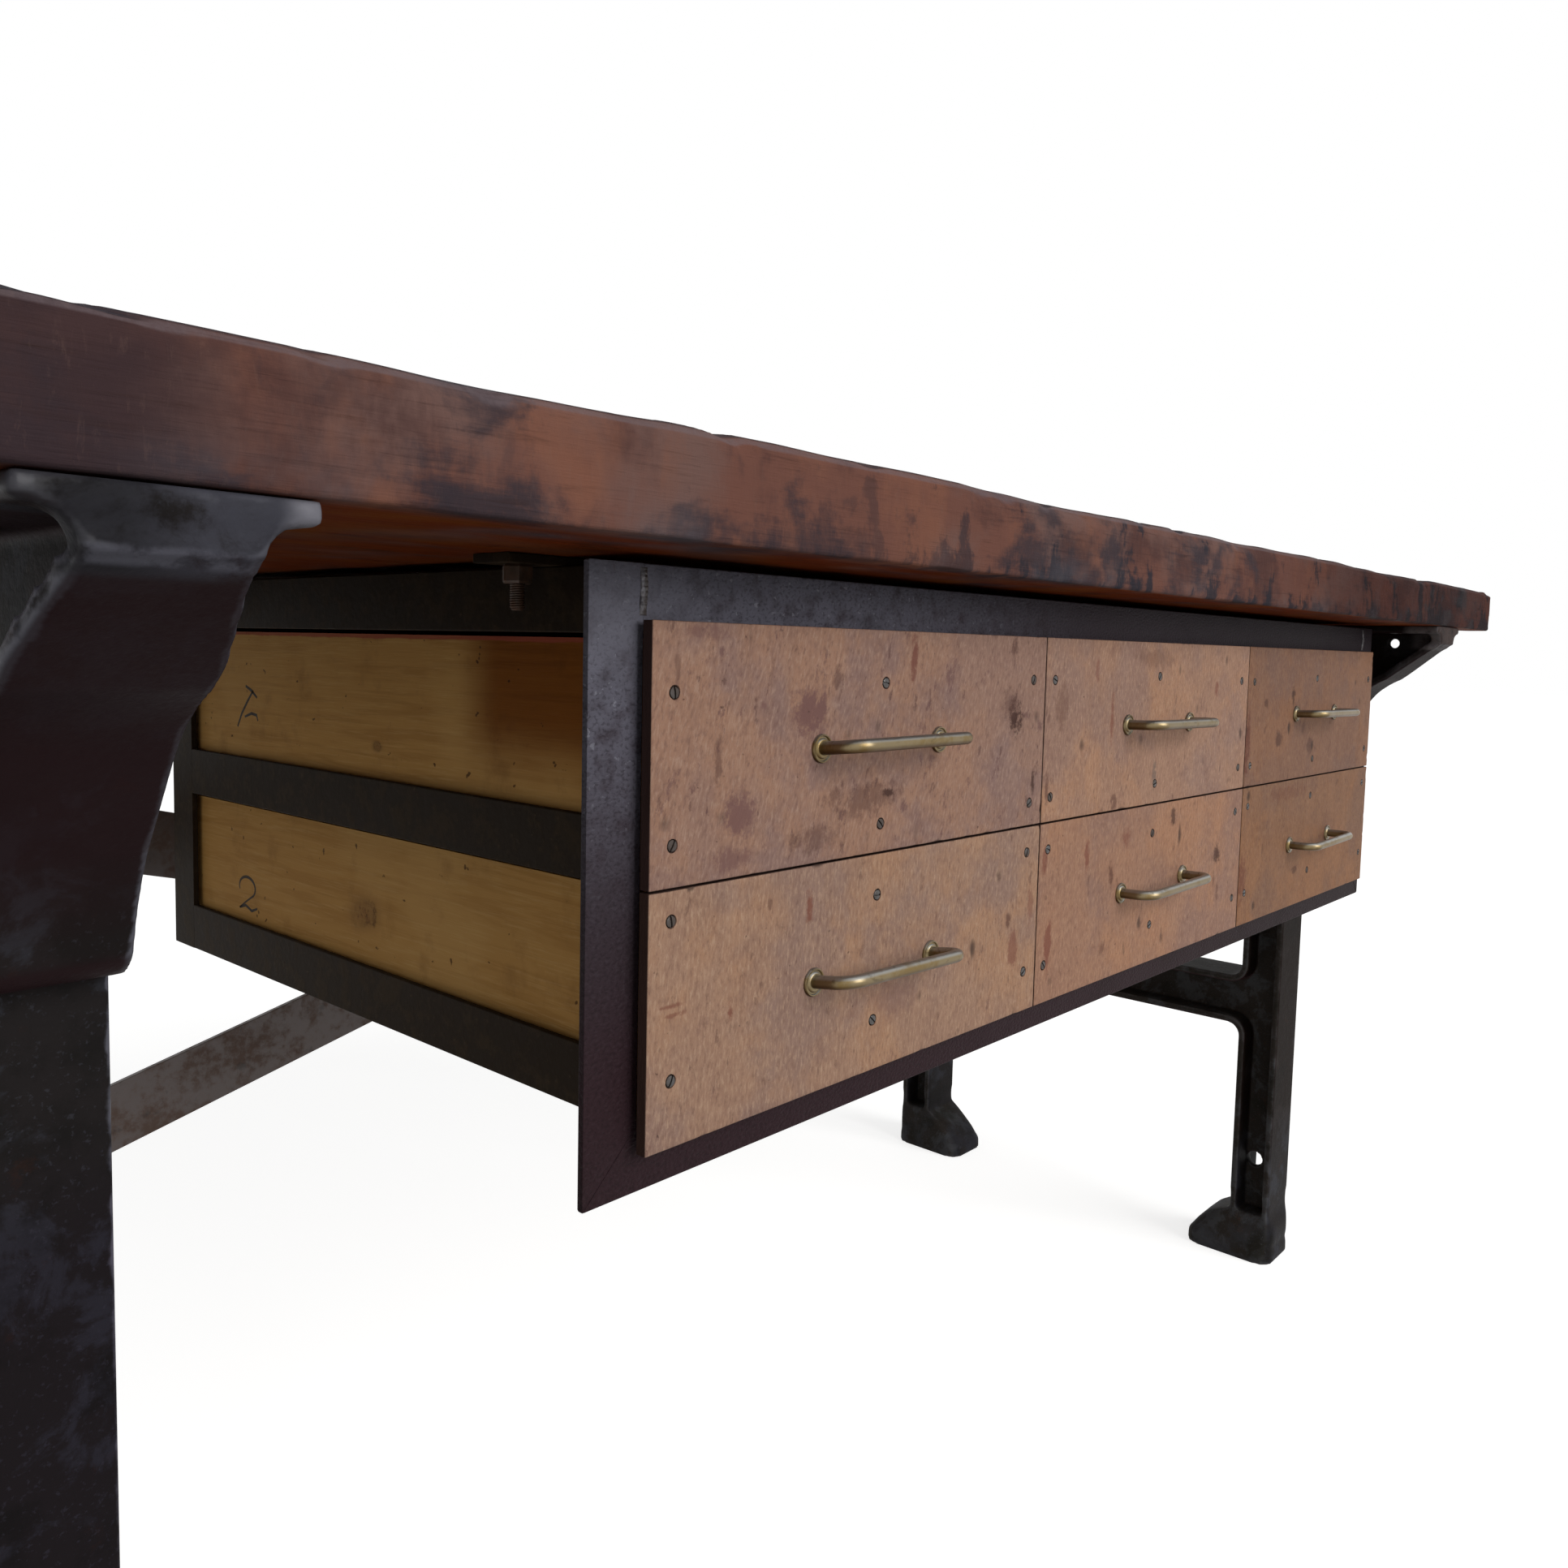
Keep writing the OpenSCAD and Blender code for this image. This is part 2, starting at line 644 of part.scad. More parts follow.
// Four boards: two sides that run the whole length, and an inner front and a back between them
module drawer_box(column, row) {
    x0 = column_x(column) + box_inset;
    x1 = x0 + box_w;
    x2 = x0 + box_wall + board_joint;
    x3 = x1 - box_wall - board_joint;
    z0 = box_z(row);
    z1 = box_top(row);
    boards = [
        [[x0, front_back_y, z0], [x0 + box_wall, box_rear_y, z1]],
        [[x1 - box_wall, front_back_y, z0], [x1, box_rear_y, z1]],
        [[x2, front_back_y, z0], [x3, front_back_y + box_wall, z1]],
        [[x2, box_rear_y - box_wall, z0], [x3, box_rear_y, z1]]
    ];
    grow = groove + groove_clear;
    rise = z0 + bottom_raise;
    color(PINE) for (b = boards) difference() {
        block(b[0], b[1]);
        block([x0 + box_wall - grow, front_back_y + box_wall - grow, rise - groove_clear],
              [x1 - box_wall + grow, box_rear_y - box_wall + grow, rise + bottom_wall + groove_clear]);
        screw_holes(column, row);
        stud_holes(column, row);
    }
}

module drawer_bottom(column, row) {
    x0 = column_x(column) + box_inset + box_wall - groove;
    x1 = x0 + box_w - 2 * box_wall + 2 * groove;
    rise = box_z(row) + bottom_raise;
    color(PINE) block([x0, front_back_y + box_wall - groove, rise],
                      [x1, box_rear_y - box_wall + groove, rise + bottom_wall]);
}

// A bent rod on two rosettes, with a stud and nut behind each foot
module drawer_handle(column, row) {
    bar_y = -handle_reach;
    color(BRASS) translate([handle_x(column), front_face_y, handle_z(row)]) {
        translate([-handle_span / 2 + handle_bend, bar_y, 0]) rotate([0, 90, 0])
            cylinder(d = handle_d, h = handle_span - 2 * handle_bend);
        both_sides(0) translate([-handle_span / 2, 0, 0]) {
            translate([handle_bend, bar_y + handle_bend, 0]) rotate([0, 0, 180])
                rotate_extrude(angle = 90) translate([handle_bend, 0]) circle(d = handle_d);
            translate([0, bar_y + handle_bend, 0]) rotate([-90, 0, 0])
                cylinder(d = handle_d, h = handle_reach - handle_bend);
            rotate([90, 0, 0]) cylinder(d = rosette_d, h = rosette_h / 2);
            translate([0, -rosette_h / 2, 0]) rotate([90, 0, 0])
                cylinder(d1 = rosette_d, d2 = handle_d + 2, h = rosette_h / 2);
            rotate([-90, 0, 0]) cylinder(d = stud_d, h = front_wall + box_wall + stud_nut_h);
            translate([0, front_wall + box_wall, 0]) rotate([-90, 0, 0])
                cylinder(r = stud_nut_r, h = stud_nut_h, $fn = 6);
        }
    }
}

module drawer_screws(column, row) {
    color(BOLT_STEEL) for (x = screw_xs(column)) for (z = screw_zs(row))
        translate([x, front_face_y, z]) rotate([-90, 0, 0]) difference() {
            union() {
                cylinder(d = screw_head_d, h = screw_head_h);
                cylinder(d = screw_d, h = screw_length);
            }
            rotate([0, 0, screw_turn * (x + z)])
                translate([-screw_head_d, -screw_slot / 2, -cut])
                    cube([2 * screw_head_d, screw_slot, cut + screw_head_h / 2]);
        }
}

module drawer_piece(column, row, piece) {
    if (piece == "front") drawer_front(column, row);
    if (piece == "box") drawer_box(column, row);
    if (piece == "bottom") drawer_bottom(column, row);
    if (piece == "handle") drawer_handle(column, row);
    if (piece == "screws") drawer_screws(column, row);
}

for (p = PLANKS) top_plank(p);
for (s = SIDES) leg_frame(s);
leg_pad_bolts();
brace_bar(1, 0);  // brace_bar_rising
brace_bar(-1, 1);  // brace_bar_falling
brace_bolts();
for (s = SIDES) case_post_front(s);
for (s = SIDES) case_post_rear(s);
case_rail_front_top();
case_rail_front_bottom();
case_rail_rear(case_top - angle_wall, case_top - rear_rail_h);  // case_rail_rear_top
case_rail_rear(runner_base, runner_base);  // case_rail_rear_bottom
case_corner_welds();
for (s = SIDES) for (l = LEVELS) side_angle(s, l);
case_dividers_front();
case_dividers_rear();
tee_runners();
tee_kickers();
hanging_lugs();
hanging_bolts();
for (c = COLUMNS) for (r = ROWS) for (p = DRAWER_PIECES)
    drawer_piece(c, r, p);
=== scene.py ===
import math

import bmesh
import bpy
import numpy
from mathutils import Matrix, Vector, noise


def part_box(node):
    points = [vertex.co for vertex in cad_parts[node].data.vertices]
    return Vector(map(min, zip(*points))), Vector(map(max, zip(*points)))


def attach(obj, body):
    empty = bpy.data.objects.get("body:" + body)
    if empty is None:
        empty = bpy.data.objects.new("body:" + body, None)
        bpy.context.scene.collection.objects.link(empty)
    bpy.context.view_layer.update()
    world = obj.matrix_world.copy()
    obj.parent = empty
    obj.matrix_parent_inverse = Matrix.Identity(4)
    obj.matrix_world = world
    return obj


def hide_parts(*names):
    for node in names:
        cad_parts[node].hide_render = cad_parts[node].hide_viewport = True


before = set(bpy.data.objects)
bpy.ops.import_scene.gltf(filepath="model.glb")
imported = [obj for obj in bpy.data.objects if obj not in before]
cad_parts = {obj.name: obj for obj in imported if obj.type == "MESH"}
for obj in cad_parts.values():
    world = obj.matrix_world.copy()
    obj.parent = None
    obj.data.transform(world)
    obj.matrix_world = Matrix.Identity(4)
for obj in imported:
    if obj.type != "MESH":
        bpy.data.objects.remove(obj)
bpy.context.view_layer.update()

# Camera. It stands close to the bench's left end, a little under the height of the top,
# and looks along the drawers with a wide lens.
def placed(name, data):
    """A new object with this mesh, lens or light, put into the scene."""
    made = bpy.data.objects.new(name, data)
    bpy.context.collection.objects.link(made)
    return made


EYE = (-0.915, -0.7938, 0.8117)
LOOK_YAW = 41.49
LOOK_PITCH = -4.47
LOOK_ROLL = 1.34
lens = bpy.data.cameras.new("photo_view")
lens.sensor_width = 36
lens.lens = 28.19
lens.shift_x = -0.0022
lens.shift_y = -0.0245
lens.clip_start = 0.02
camera = placed("photo_view", lens)
camera.matrix_world = (
    Matrix.Translation(EYE)
    @ Matrix.Rotation(math.radians(LOOK_YAW - 90), 4, "Z")
    @ Matrix.Rotation(math.radians(LOOK_PITCH + 90), 4, "X")
    @ Matrix.Rotation(math.radians(LOOK_ROLL), 4, "Z")
)
bpy.context.scene.camera = camera
bpy.context.scene.view_settings.view_transform = "Standard"


# Studio. A pale floor under a plain white surround, lit by one wide soft key from the front
# and a weaker fill; the floor is only whiter to the eye, so that it adds no light.
class Tint:
    """A socket in a material or a world. A sum written with it adds the nodes of that sum."""

    def __init__(self, socket):
        self.socket = socket

    def node(self, kind, settings, inputs, output=0):
        tree = self.socket.id_data
        made = tree.nodes.new("ShaderNode" + kind)
        for name, value in settings.items():
            setattr(made, name, value)
        for name, value in inputs.items():
            if isinstance(value, Tint):
                tree.links.new(value.socket, made.inputs[name])
            else:
                made.inputs[name].default_value = value
        return Tint(made.outputs[output])

    def sum(self, operation, *terms):
        return self.node("Math", {"operation": operation}, dict(enumerate(terms)))

    def __add__(self, other):
        return self.sum("ADD", self, other)

    def __sub__(self, other):
        return self.sum("SUBTRACT", self, other)

    def __rsub__(self, other):
        return self.sum("SUBTRACT", other, self)

    def __mul__(self, other):
        return self.sum("MULTIPLY", self, other)

    __radd__ = __add__
    __rmul__ = __mul__

    def above(self, other):
        return self.sum("MAXIMUM", self, other)

    def stretched(self, *sizes):
        return self.node("VectorMath", {"operation": "MULTIPLY"}, {0: self, 1: sizes})

    def moved(self, *steps):
        return self.node("VectorMath", {"operation": "ADD"}, {0: self, 1: steps})

    def part(self, letter):
        return self.node("SeparateXYZ", {}, {0: self}, "XYZ".index(letter))

    def facing(self, letter):
        """How far the surface faces along an axis, from -1 to 1."""
        return self.node("NewGeometry", {}, {}, 1).part(letter)

    def away(self):
        """The length of this vector."""
        return self.node("VectorMath", {"operation": "LENGTH"}, {0: self}, 1)

    def mask(self, low, high):
        ends = {"Value": self, "From Min": low, "From Max": high}
        return self.node("MapRange", {"interpolation_type": "SMOOTHSTEP"}, ends)

    def tinted(self, colour, share, blend="MIX"):
        """This colour with another one laid over it, where share is 1."""
        colour = colour if isinstance(colour, Tint) else (*colour, 1.0)
        settings = {"data_type": "RGBA", "blend_type": blend}
        return self.node("Mix", settings, {0: share, 6: self, 7: colour}, 2)

    def plain(self, colour):
        """One colour all over, to lay others on."""
        return self.node("Mix", {"data_type": "RGBA"}, {0: 0.0, 6: (*colour, 1.0), 7: (*colour, 1.0)}, 2)

    def grain(self, scale, detail, rough, warp=0.0):
        inputs = {"Vector": self, "Scale": scale, "Detail": detail, "Roughness": rough, "Distortion": warp}
        return self.node("TexNoise", {}, inputs)


def new_paint(name, ground):
    """A material, its place in the bench in metres, a way to lay one more coat of colour over
    its ground, where share is 1, and a way to set its shader's sockets."""
    paint = bpy.data.materials.new(name)
    paint.use_nodes = True
    tree = paint.node_tree
    shader = tree.nodes["Principled BSDF"]
    place = Tint(tree.nodes.new("ShaderNodeTexCoord").outputs["Object"])
    coats = []

    def feed(**sockets):
        for socket, value in sockets.items():
            socket = shader.inputs[socket.replace("_", " ")]
            if isinstance(value, Tint):
                tree.links.new(value.socket, socket)
            else:
                socket.default_value = value

    def coat(colour, share, blend="MIX"):
        under = coats[-1] if coats else place.plain(ground)
        coats.append(under.tinted(colour, share, blend))
        feed(Base_Color=coats[-1])

    feed(Base_Color=(*ground, 1.0))
    return paint, place, coat, feed


world = bpy.data.worlds.new("surround")
bpy.context.scene.world = world
world.use_nodes = True
backdrop = world.node_tree.nodes["Background"]


def looked_at(tree):
    """A value of 1 for rays that bring the picture, and 0 for rays that bring light."""
    rays = Tint(tree.nodes.new("ShaderNodeLightPath").outputs["Is Camera Ray"])
    seen = rays.above(Tint(rays.socket.node.outputs["Is Glossy Ray"]))
    return seen.above(Tint(rays.socket.node.outputs["Is Transmission Ray"]))


AMBIENT = 0.26
strength = AMBIENT + (1 - AMBIENT) * looked_at(world.node_tree)
world.node_tree.links.new(strength.socket, backdrop.inputs["Strength"])
backdrop.inputs["Color"].default_value = (1, 1, 1, 1)


def drawn(name, verts, faces):
    mesh = bpy.data.meshes.new(name)
    mesh.from_pydata(verts, [], faces)
    return mesh


FLOOR_REACH = 40
FLOOR_GREY = (0.6, 0.6, 0.59)
FLOOR_GLOW = (0.74, 0.74, 0.74)
corners = [(sx * FLOOR_REACH, sy * FLOOR_REACH, 0) for sx, sy in ((-1, -1), (1, -1), (1, 1), (-1, 1))]
floor_mesh = drawn("floor", corners, [(0, 1, 2, 3)])
floor = placed("floor", floor_mesh)
floor_paint, _, _, floor_feed = new_paint("floor_paint", FLOOR_GREY)
seen = looked_at(floor_paint.node_tree)
glow = seen.plain((0, 0, 0)).tinted(FLOOR_GLOW, seen)
floor_feed(Roughness=0.9, Specular_IOR_Level=0.0, Emission_Color=glow, Emission_Strength=1.0)
floor_mesh.materials.append(floor_paint)

LAMPS = (("key", 2.5, 40, (-0.1, 1.0, -0.42)), ("fill", 0.42, 80, (1.0, 0.35, -0.3)))
for lamp_name, energy, width, aim in LAMPS:
    light = bpy.data.lights.new(lamp_name, "SUN")
    light.energy = energy
    light.angle = math.radians(width)
    placed(lamp_name, light).rotation_euler = Vector(aim).to_track_quat("-Z", "Y").to_euler()


# Leg frames. Two grey iron castings in one pattern, painted black long ago; the sand mould
# left round edges and a pebbled skin, and the paint is worn dull on the edges and feet. Painted
# light lies in their colour too: highlights on the edges and the near bracket's nose, and shade
# on faces turned down, under the top and on parts of each leg.
def bumped(height, depth, strength):
    return height.node("Bump", {}, {"Height": height, "Distance": depth, "Strength": strength})


def give(piece, paint):
    if not piece.material_slots:
        piece.data.materials.append(None)
    for each in piece.material_slots:
        each.link = "OBJECT"
        each.material = paint


def edge_rub(mesh, passes):
    """Stores on a mesh how sharply it bends outward at each point, in 1/m, for a paint to read."""
    count = len(mesh.vertices)
    place, normal = numpy.empty(3 * count), numpy.empty(3 * count)
    mesh.vertices.foreach_get("co", place)
    mesh.vertices.foreach_get("normal", normal)
    place, normal = place.reshape(-1, 3), normal.reshape(-1, 3)
    ends = numpy.empty(2 * len(mesh.edges), dtype=numpy.int32)
    mesh.edges.foreach_get("vertices", ends)
    a, b = ends[0::2], ends[1::2]
    step = place[a] - place[b]
    reach = (step ** 2).sum(1) + 1e-12
    links = numpy.bincount(a, minlength=count) + numpy.bincount(b, minlength=count) + 1e-9
    bend = numpy.bincount(a, (normal[a] * step).sum(1) / reach, count)
    bend = (bend - numpy.bincount(b, (normal[b] * step).sum(1) / reach, count)) / links
    for _ in range(passes):
        bend = (bend + (numpy.bincount(a, bend[b], count) + numpy.bincount(b, bend[a], count)) / links) / 2
    mesh.attributes.new("rub", "FLOAT", "POINT").data.foreach_set("value", bend)


def casting_paint(pad_top):
    paint, place, coat, feed = new_paint("black_casting", (0.0125, 0.0105, 0.0105))
    along = place.part("X")
    height = place.part("Z")
    on_pad = height - pad_top
    on_right = (along - 0.2).mask(0.0, 0.1)
    lumps = place.grain(60, 5, 0.6)
    pebbles = place.grain(420, 3, 0.6)
    below = (0 - place.facing("Z")).mask(0.1, 0.65)
    rub = place.node("Attribute", {"attribute_name": "rub"}, {}, 2) + (lumps - 0.5) * 90
    edges = rub.mask(22, 60) * (1 - below * 0.8)
    blotch = place.moved(3.1, 0.4, 1.7).grain(26, 7, 0.68, 0.4)
    dust = (0.1 - height).mask(0.0, 0.1) * place.grain(28, 5, 0.6).mask(0.42, 0.64)
    coat((0.026, 0.0265, 0.032), blotch.mask(0.5, 0.6) * 0.75)
    coat((0.0065, 0.006, 0.0055), place.moved(7, 2, 4).grain(14, 6, 0.66).mask(0.5, 0.62) * 0.7)
    coat((0.038, 0.038, 0.046), pebbles.mask(0.58, 0.72) * (1 - below) * 0.45)
    coat((0.03, 0.013, 0.008), place.grain(34, 6, 0.7).mask(0.6, 0.74) * 0.4)
    # Painted shade: faces turned down are darker purple-brown, and keep no light pebbles or edges.
    coat((0.013, 0.005, 0.006), below * 0.85)
    # Convex edges are worn lighter blue-grey, partly a painted highlight; less on faces turned down and on
    # the right leg.
    coat((0.085, 0.085, 0.105), edges * (0.85 - on_right * 0.7))
    coat((0.023, 0.0235, 0.031), dust * 0.6)
    # The near bracket's nose: a painted blue-grey sheen in blotches, darker towards its left end, a painted
    # highlight along the cove's rim, and a worn lip carrying a painted highlight.
    nose = (-0.352 - place.part("Y")).mask(0.0, 0.018) * (on_pad + 0.03).mask(0.0, 0.004)
    coat((0.046, 0.046, 0.058), nose * blotch.mask(0.38, 0.54) * 0.7)
    outward = (along + 0.722).mask(0.0, 0.012)
    coat((0.45, 0.44, 0.42), nose * (-0.742 - along).mask(0.0, 0.03), "MULTIPLY")
    coat((0.15, 0.147, 0.168), nose * outward * lumps.mask(0.3, 0.54) * 0.85)
    lip = (on_pad + 0.0265).mask(0.0, 0.0025) * (1 - (on_pad + 0.0215).mask(0.0, 0.0035))
    coat((0.135, 0.135, 0.165), nose * lip * lumps.mask(0.38, 0.58) * (0.45 + outward * 0.45))
    # Painted light on the right leg: its faces turned left and its faces not turned to the front are made
    # lighter, and its front faces above the feet darker.
    leftward = (0 - place.facing("X")).mask(0.3, 0.8)
    coat((1.5, 1.5, 1.5), on_right * leftward, "MULTIPLY")
    frontward = (0 - place.facing("Y")).mask(0.45, 0.9)
    coat((1.6, 1.6, 1.4), on_right * (1 - frontward), "MULTIPLY")
    coat((0.6, 0.42, 0.32), on_right * frontward * (height - 0.12).mask(0.0, 0.1), "MULTIPLY")
    # Painted shade: the left leg darker below the case, and a painted shadow under the top on the right leg
    # above the case.
    case_bottom = 0.62
    left_leg_shade = (1 - on_right) * (case_bottom - height).mask(0.0, 0.08)
    coat((0.72, 0.66, 0.76), left_leg_shade, "MULTIPLY")
    shadow_under_top = on_right * (height - case_bottom).mask(0.0, 0.1)
    coat((0.4, 0.36, 0.36), shadow_under_top, "MULTIPLY")
    edges = edges * (1 - on_right * 0.85)
    feed(Roughness=0.46 + pebbles * 0.22 - edges * 0.1)
    feed(Coat_Weight=edges * 0.3, Coat_Roughness=0.38, Specular_IOR_Level=0.035)
    feed(Normal=bumped(lumps * 0.7 + pebbles * 0.3, 0.0011, 0.75))
    return paint


def soft_casting(node, voxel):
    """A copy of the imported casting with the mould's round edges, hollow corners and swollen feet."""
    shape = placed(node + "_casting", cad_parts[node].data.copy())
    skin = shape.modifiers.new("skin", "REMESH")
    skin.mode = "VOXEL"
    skin.voxel_size = voxel
    rounding = shape.modifiers.new("rounding", "SMOOTH")
    rounding.iterations = 4
    thinning = shape.modifiers.new("thinning", "DECIMATE")
    thinning.ratio = 0.35
    graph = bpy.context.evaluated_depsgraph_get()
    shape.data = bpy.data.meshes.new_from_object(shape.evaluated_get(graph))
    shape.modifiers.clear()
    foot_top = 0.085
    sole = 0.004
    work = bmesh.new()
    work.from_mesh(shape.data)
    foot = [vert for vert in work.verts if sole < vert.co.z < foot_top]
    for _ in range(9):
        bmesh.ops.smooth_vert(work, verts=foot, factor=0.5, use_axis_x=True, use_axis_y=True, use_axis_z=True)
    work.to_mesh(shape.data)
    work.free()
    shape.data.shade_smooth()
    edge_rub(shape.data, 2)
    return shape


CASTING_VOXEL = 0.0023
black_casting = casting_paint(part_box("leg_frame_left")[1][2])
for side in ("left", "right"):
    casting = soft_casting("leg_frame_" + side, CASTING_VOXEL)
    give(casting, black_casting)
    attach(casting, "bench")
    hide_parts("leg_frame_" + side)


# Braces and bolts of the leg frames. Two flat steel bars, sheared and drilled, gone brown, and
# hex bolts, coach screws and spacers with the same old rust.
def ease_edges(piece, width):
    joined = piece.modifiers.new("joined", "WELD")
    joined.merge_threshold = 0.00002
    edge = piece.modifiers.new("edge", "BEVEL")
    edge.width = width
    edge.segments = 2
    edge.limit_method = "ANGLE"
    edge.angle_limit = math.radians(32)
    edge.harden_normals = False
    level = piece.modifiers.new("level", "WEIGHTED_NORMAL")
    level.keep_sharp = False
    level.weight = 60


def eased(node, paint, width):
    """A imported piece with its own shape, its sharp edges eased, in a new paint."""
    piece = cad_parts[node]
    give(piece, paint)
    ease_edges(piece, width)


def finished(work, name):
    """The built shape as a new object."""
    mesh = bpy.data.meshes.new(name)
    work.to_mesh(mesh)
    work.free()
    return placed(name, mesh)


def sheared_bar(node):
    """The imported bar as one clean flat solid; the heads and nuts of its bolts cover the holes."""
    work = bmesh.new()
    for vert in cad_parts[node].data.vertices:
        work.verts.new(vert.co)
    bmesh.ops.convex_hull(work, input=work.verts)
    inner = [vert for vert in work.verts if not vert.link_faces]
    bmesh.ops.delete(work, geom=inner, context="VERTS")
    bmesh.ops.dissolve_limit(work, angle_limit=math.radians(2), verts=work.verts, edges=work.edges)
    return finished(work, node + "_sheared")


def old_steel(name, bare, rust, rusted, metal, depth=0.0004):
    paint, place, coat, feed = new_paint(name, bare)
    cloud = place.grain(26, 7, 0.68)
    spots = place.moved(0.7, 2.2, 5.1).grain(150, 4, 0.6)
    share = (cloud * 0.7 + spots * 0.3).mask(0.6 - 0.25 * rusted, 0.72 - 0.2 * rusted)
    coat(rust, share)
    coat((0.012, 0.009, 0.008), place.grain(60, 5, 0.6).mask(0.6, 0.75) * 0.6)
    feed(Metallic=metal * (1 - share), Roughness=0.38 + share * 0.35)
    feed(Normal=bumped(spots + cloud, depth, 0.6))
    return paint


brown_bar = old_steel("brown_bar", (0.07, 0.054, 0.05), (0.055, 0.03, 0.02), 0.6, 0.25)
rusty_bolt = old_steel("rusty_bolt", (0.045, 0.028, 0.018), (0.062, 0.024, 0.008), 1.0, 0.2)
for node in ("brace_bar_rising", "brace_bar_falling"):
    bar = sheared_bar(node)
    give(bar, brown_bar)
    ease_edges(bar, 0.0008)
    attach(bar, "bench")
    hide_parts(node)
for node in ("leg_pad_bolts", "brace_bolts"):
    eased(node, rusty_bolt, 0.0007)


# Plank top. Three thick planks of a dark hardwood: the upper front edge is rubbed far round and
# chipped, and years of oil, grease and paint stained the brick-brown wood slate and orange.
def uneven(x, y, z):
    """A smooth random value between -1 and 1 that belongs to a place."""
    return noise.noise(Vector((x, y, z)))


def worn_plank(name, node, front_round, rear_round, lower_round):
    """A plank swept along X. The rounds are (depth in Y, depth in Z) of its long edges."""
    low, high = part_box(node)
    y0, z0, y1, z1 = low[1], low[2], high[1], high[2]
    length = high[0] - low[0]
    step = 0.0035
    end_round = 0.0014
    end_steps = (0.0, 0.00014, 0.0004, 0.0008, end_round)

    def edge_points(corner_y, corner_z, size, start):
        cuts = 9 if size[0] > 0.005 else 4
        for i in range(cuts + 1):
            turn = math.radians(start - 90 * i / cuts)
            normal = (math.cos(turn), math.sin(turn))
            yield (corner_y + size[0] * normal[0], corner_z + size[1] * normal[1]), normal, size[0]

    def face_points(a, b, normal, pitch):
        count = max(2, round(math.dist(a, b) / pitch))
        for i in range(1, count):
            t = i / count
            yield (a[0] + t * (b[0] - a[0]), a[1] + t * (b[1] - a[1])), normal, 0.0

    corner = (0.0015, 0.0015)
    outline = list(face_points((y0, z0 + lower_round[1]), (y0, z1 - front_round[1]), (-1, 0), 0.0036))
    outline += edge_points(y0 + front_round[0], z1 - front_round[1], front_round, 180)
    outline += face_points((y0 + front_round[0], z1), (y1 - rear_round[0], z1), (0, 1), 0.009)
    outline += edge_points(y1 - rear_round[0], z1 - rear_round[1], rear_round, 90)
    outline += face_points((y1, z1 - rear_round[1]), (y1, z0 + corner[1]), (1, 0), 0.006)
    outline += edge_points(y1 - corner[0], z0 + corner[1], corner, 0)
    outline += face_points((y1 - corner[0], z0), (y0 + lower_round[0], z0), (0, -1), 0.02)
    outline += edge_points(y0 + lower_round[0], z0 + lower_round[1], lower_round, 270)

    def hollow(x, y, z, size):
        """How deep the wood is worn away below the straight sawn plank there."""
        depth = 0.0007 * max(0.0, uneven(x * 15, y * 46, z * 46) + 0.25)
        depth += 0.00025 * max(0.0, uneven(x * 30, y * 190, z * 190) + 0.2)
        if size > 0.002:
            rub = uneven(x * 4.3, size * 90, 0.4) + 0.45 * uneven(x * 19, 3.1, 7.7)
            depth += 0.22 * size * max(0.0, rub + 0.2)
            chip = uneven(x * 31, y * 60, z * 60 + 5.0)
            depth += min(0.4 * size, 0.0045) * max(0.0, chip - 0.3) / 0.7
        return depth

    stations = [low[0] + t for t in end_steps]
    middle = round((length - 2 * end_round) / step)
    stations += [low[0] + end_round + (length - 2 * end_round) * i / middle for i in range(1, middle)]
    stations += [high[0] - t for t in reversed(end_steps)]
    verts = []
    for x in stations:
        from_end = min(x - low[0], high[0] - x, end_round)
        inset = end_round - math.sqrt(end_round ** 2 - (end_round - from_end) ** 2)
        for (y, z), normal, size in outline:
            depth = inset + hollow(x, y, z, size)
            verts.append((x, y - normal[0] * depth, z - normal[1] * depth))
    ring = len(outline)
    spans = len(stations) - 1
    faces = [
        (i * ring + j, i * ring + (j + 1) % ring, (i + 1) * ring + (j + 1) % ring, (i + 1) * ring + j)
        for i in range(spans) for j in range(ring)
    ]
    faces.append(tuple(range(ring - 1, -1, -1)))
    faces.append(tuple(spans * ring + j for j in range(ring)))
    mesh = drawn(name, verts, faces)
    work = bmesh.new()
    work.from_mesh(mesh)
    bmesh.ops.recalc_face_normals(work, faces=work.faces)
    sawn_ends = [face for face in work.faces if len(face.verts) > 4]
    bmesh.ops.triangulate(work, faces=sawn_ends, ngon_method="BEAUTY")
    work.normal_update()
    for face in work.faces:
        face.smooth = abs(face.normal.x) < 0.99
    work.to_mesh(mesh)
    work.free()
    mesh.set_sharp_from_angle(angle=math.radians(60))
    return placed(name, mesh)


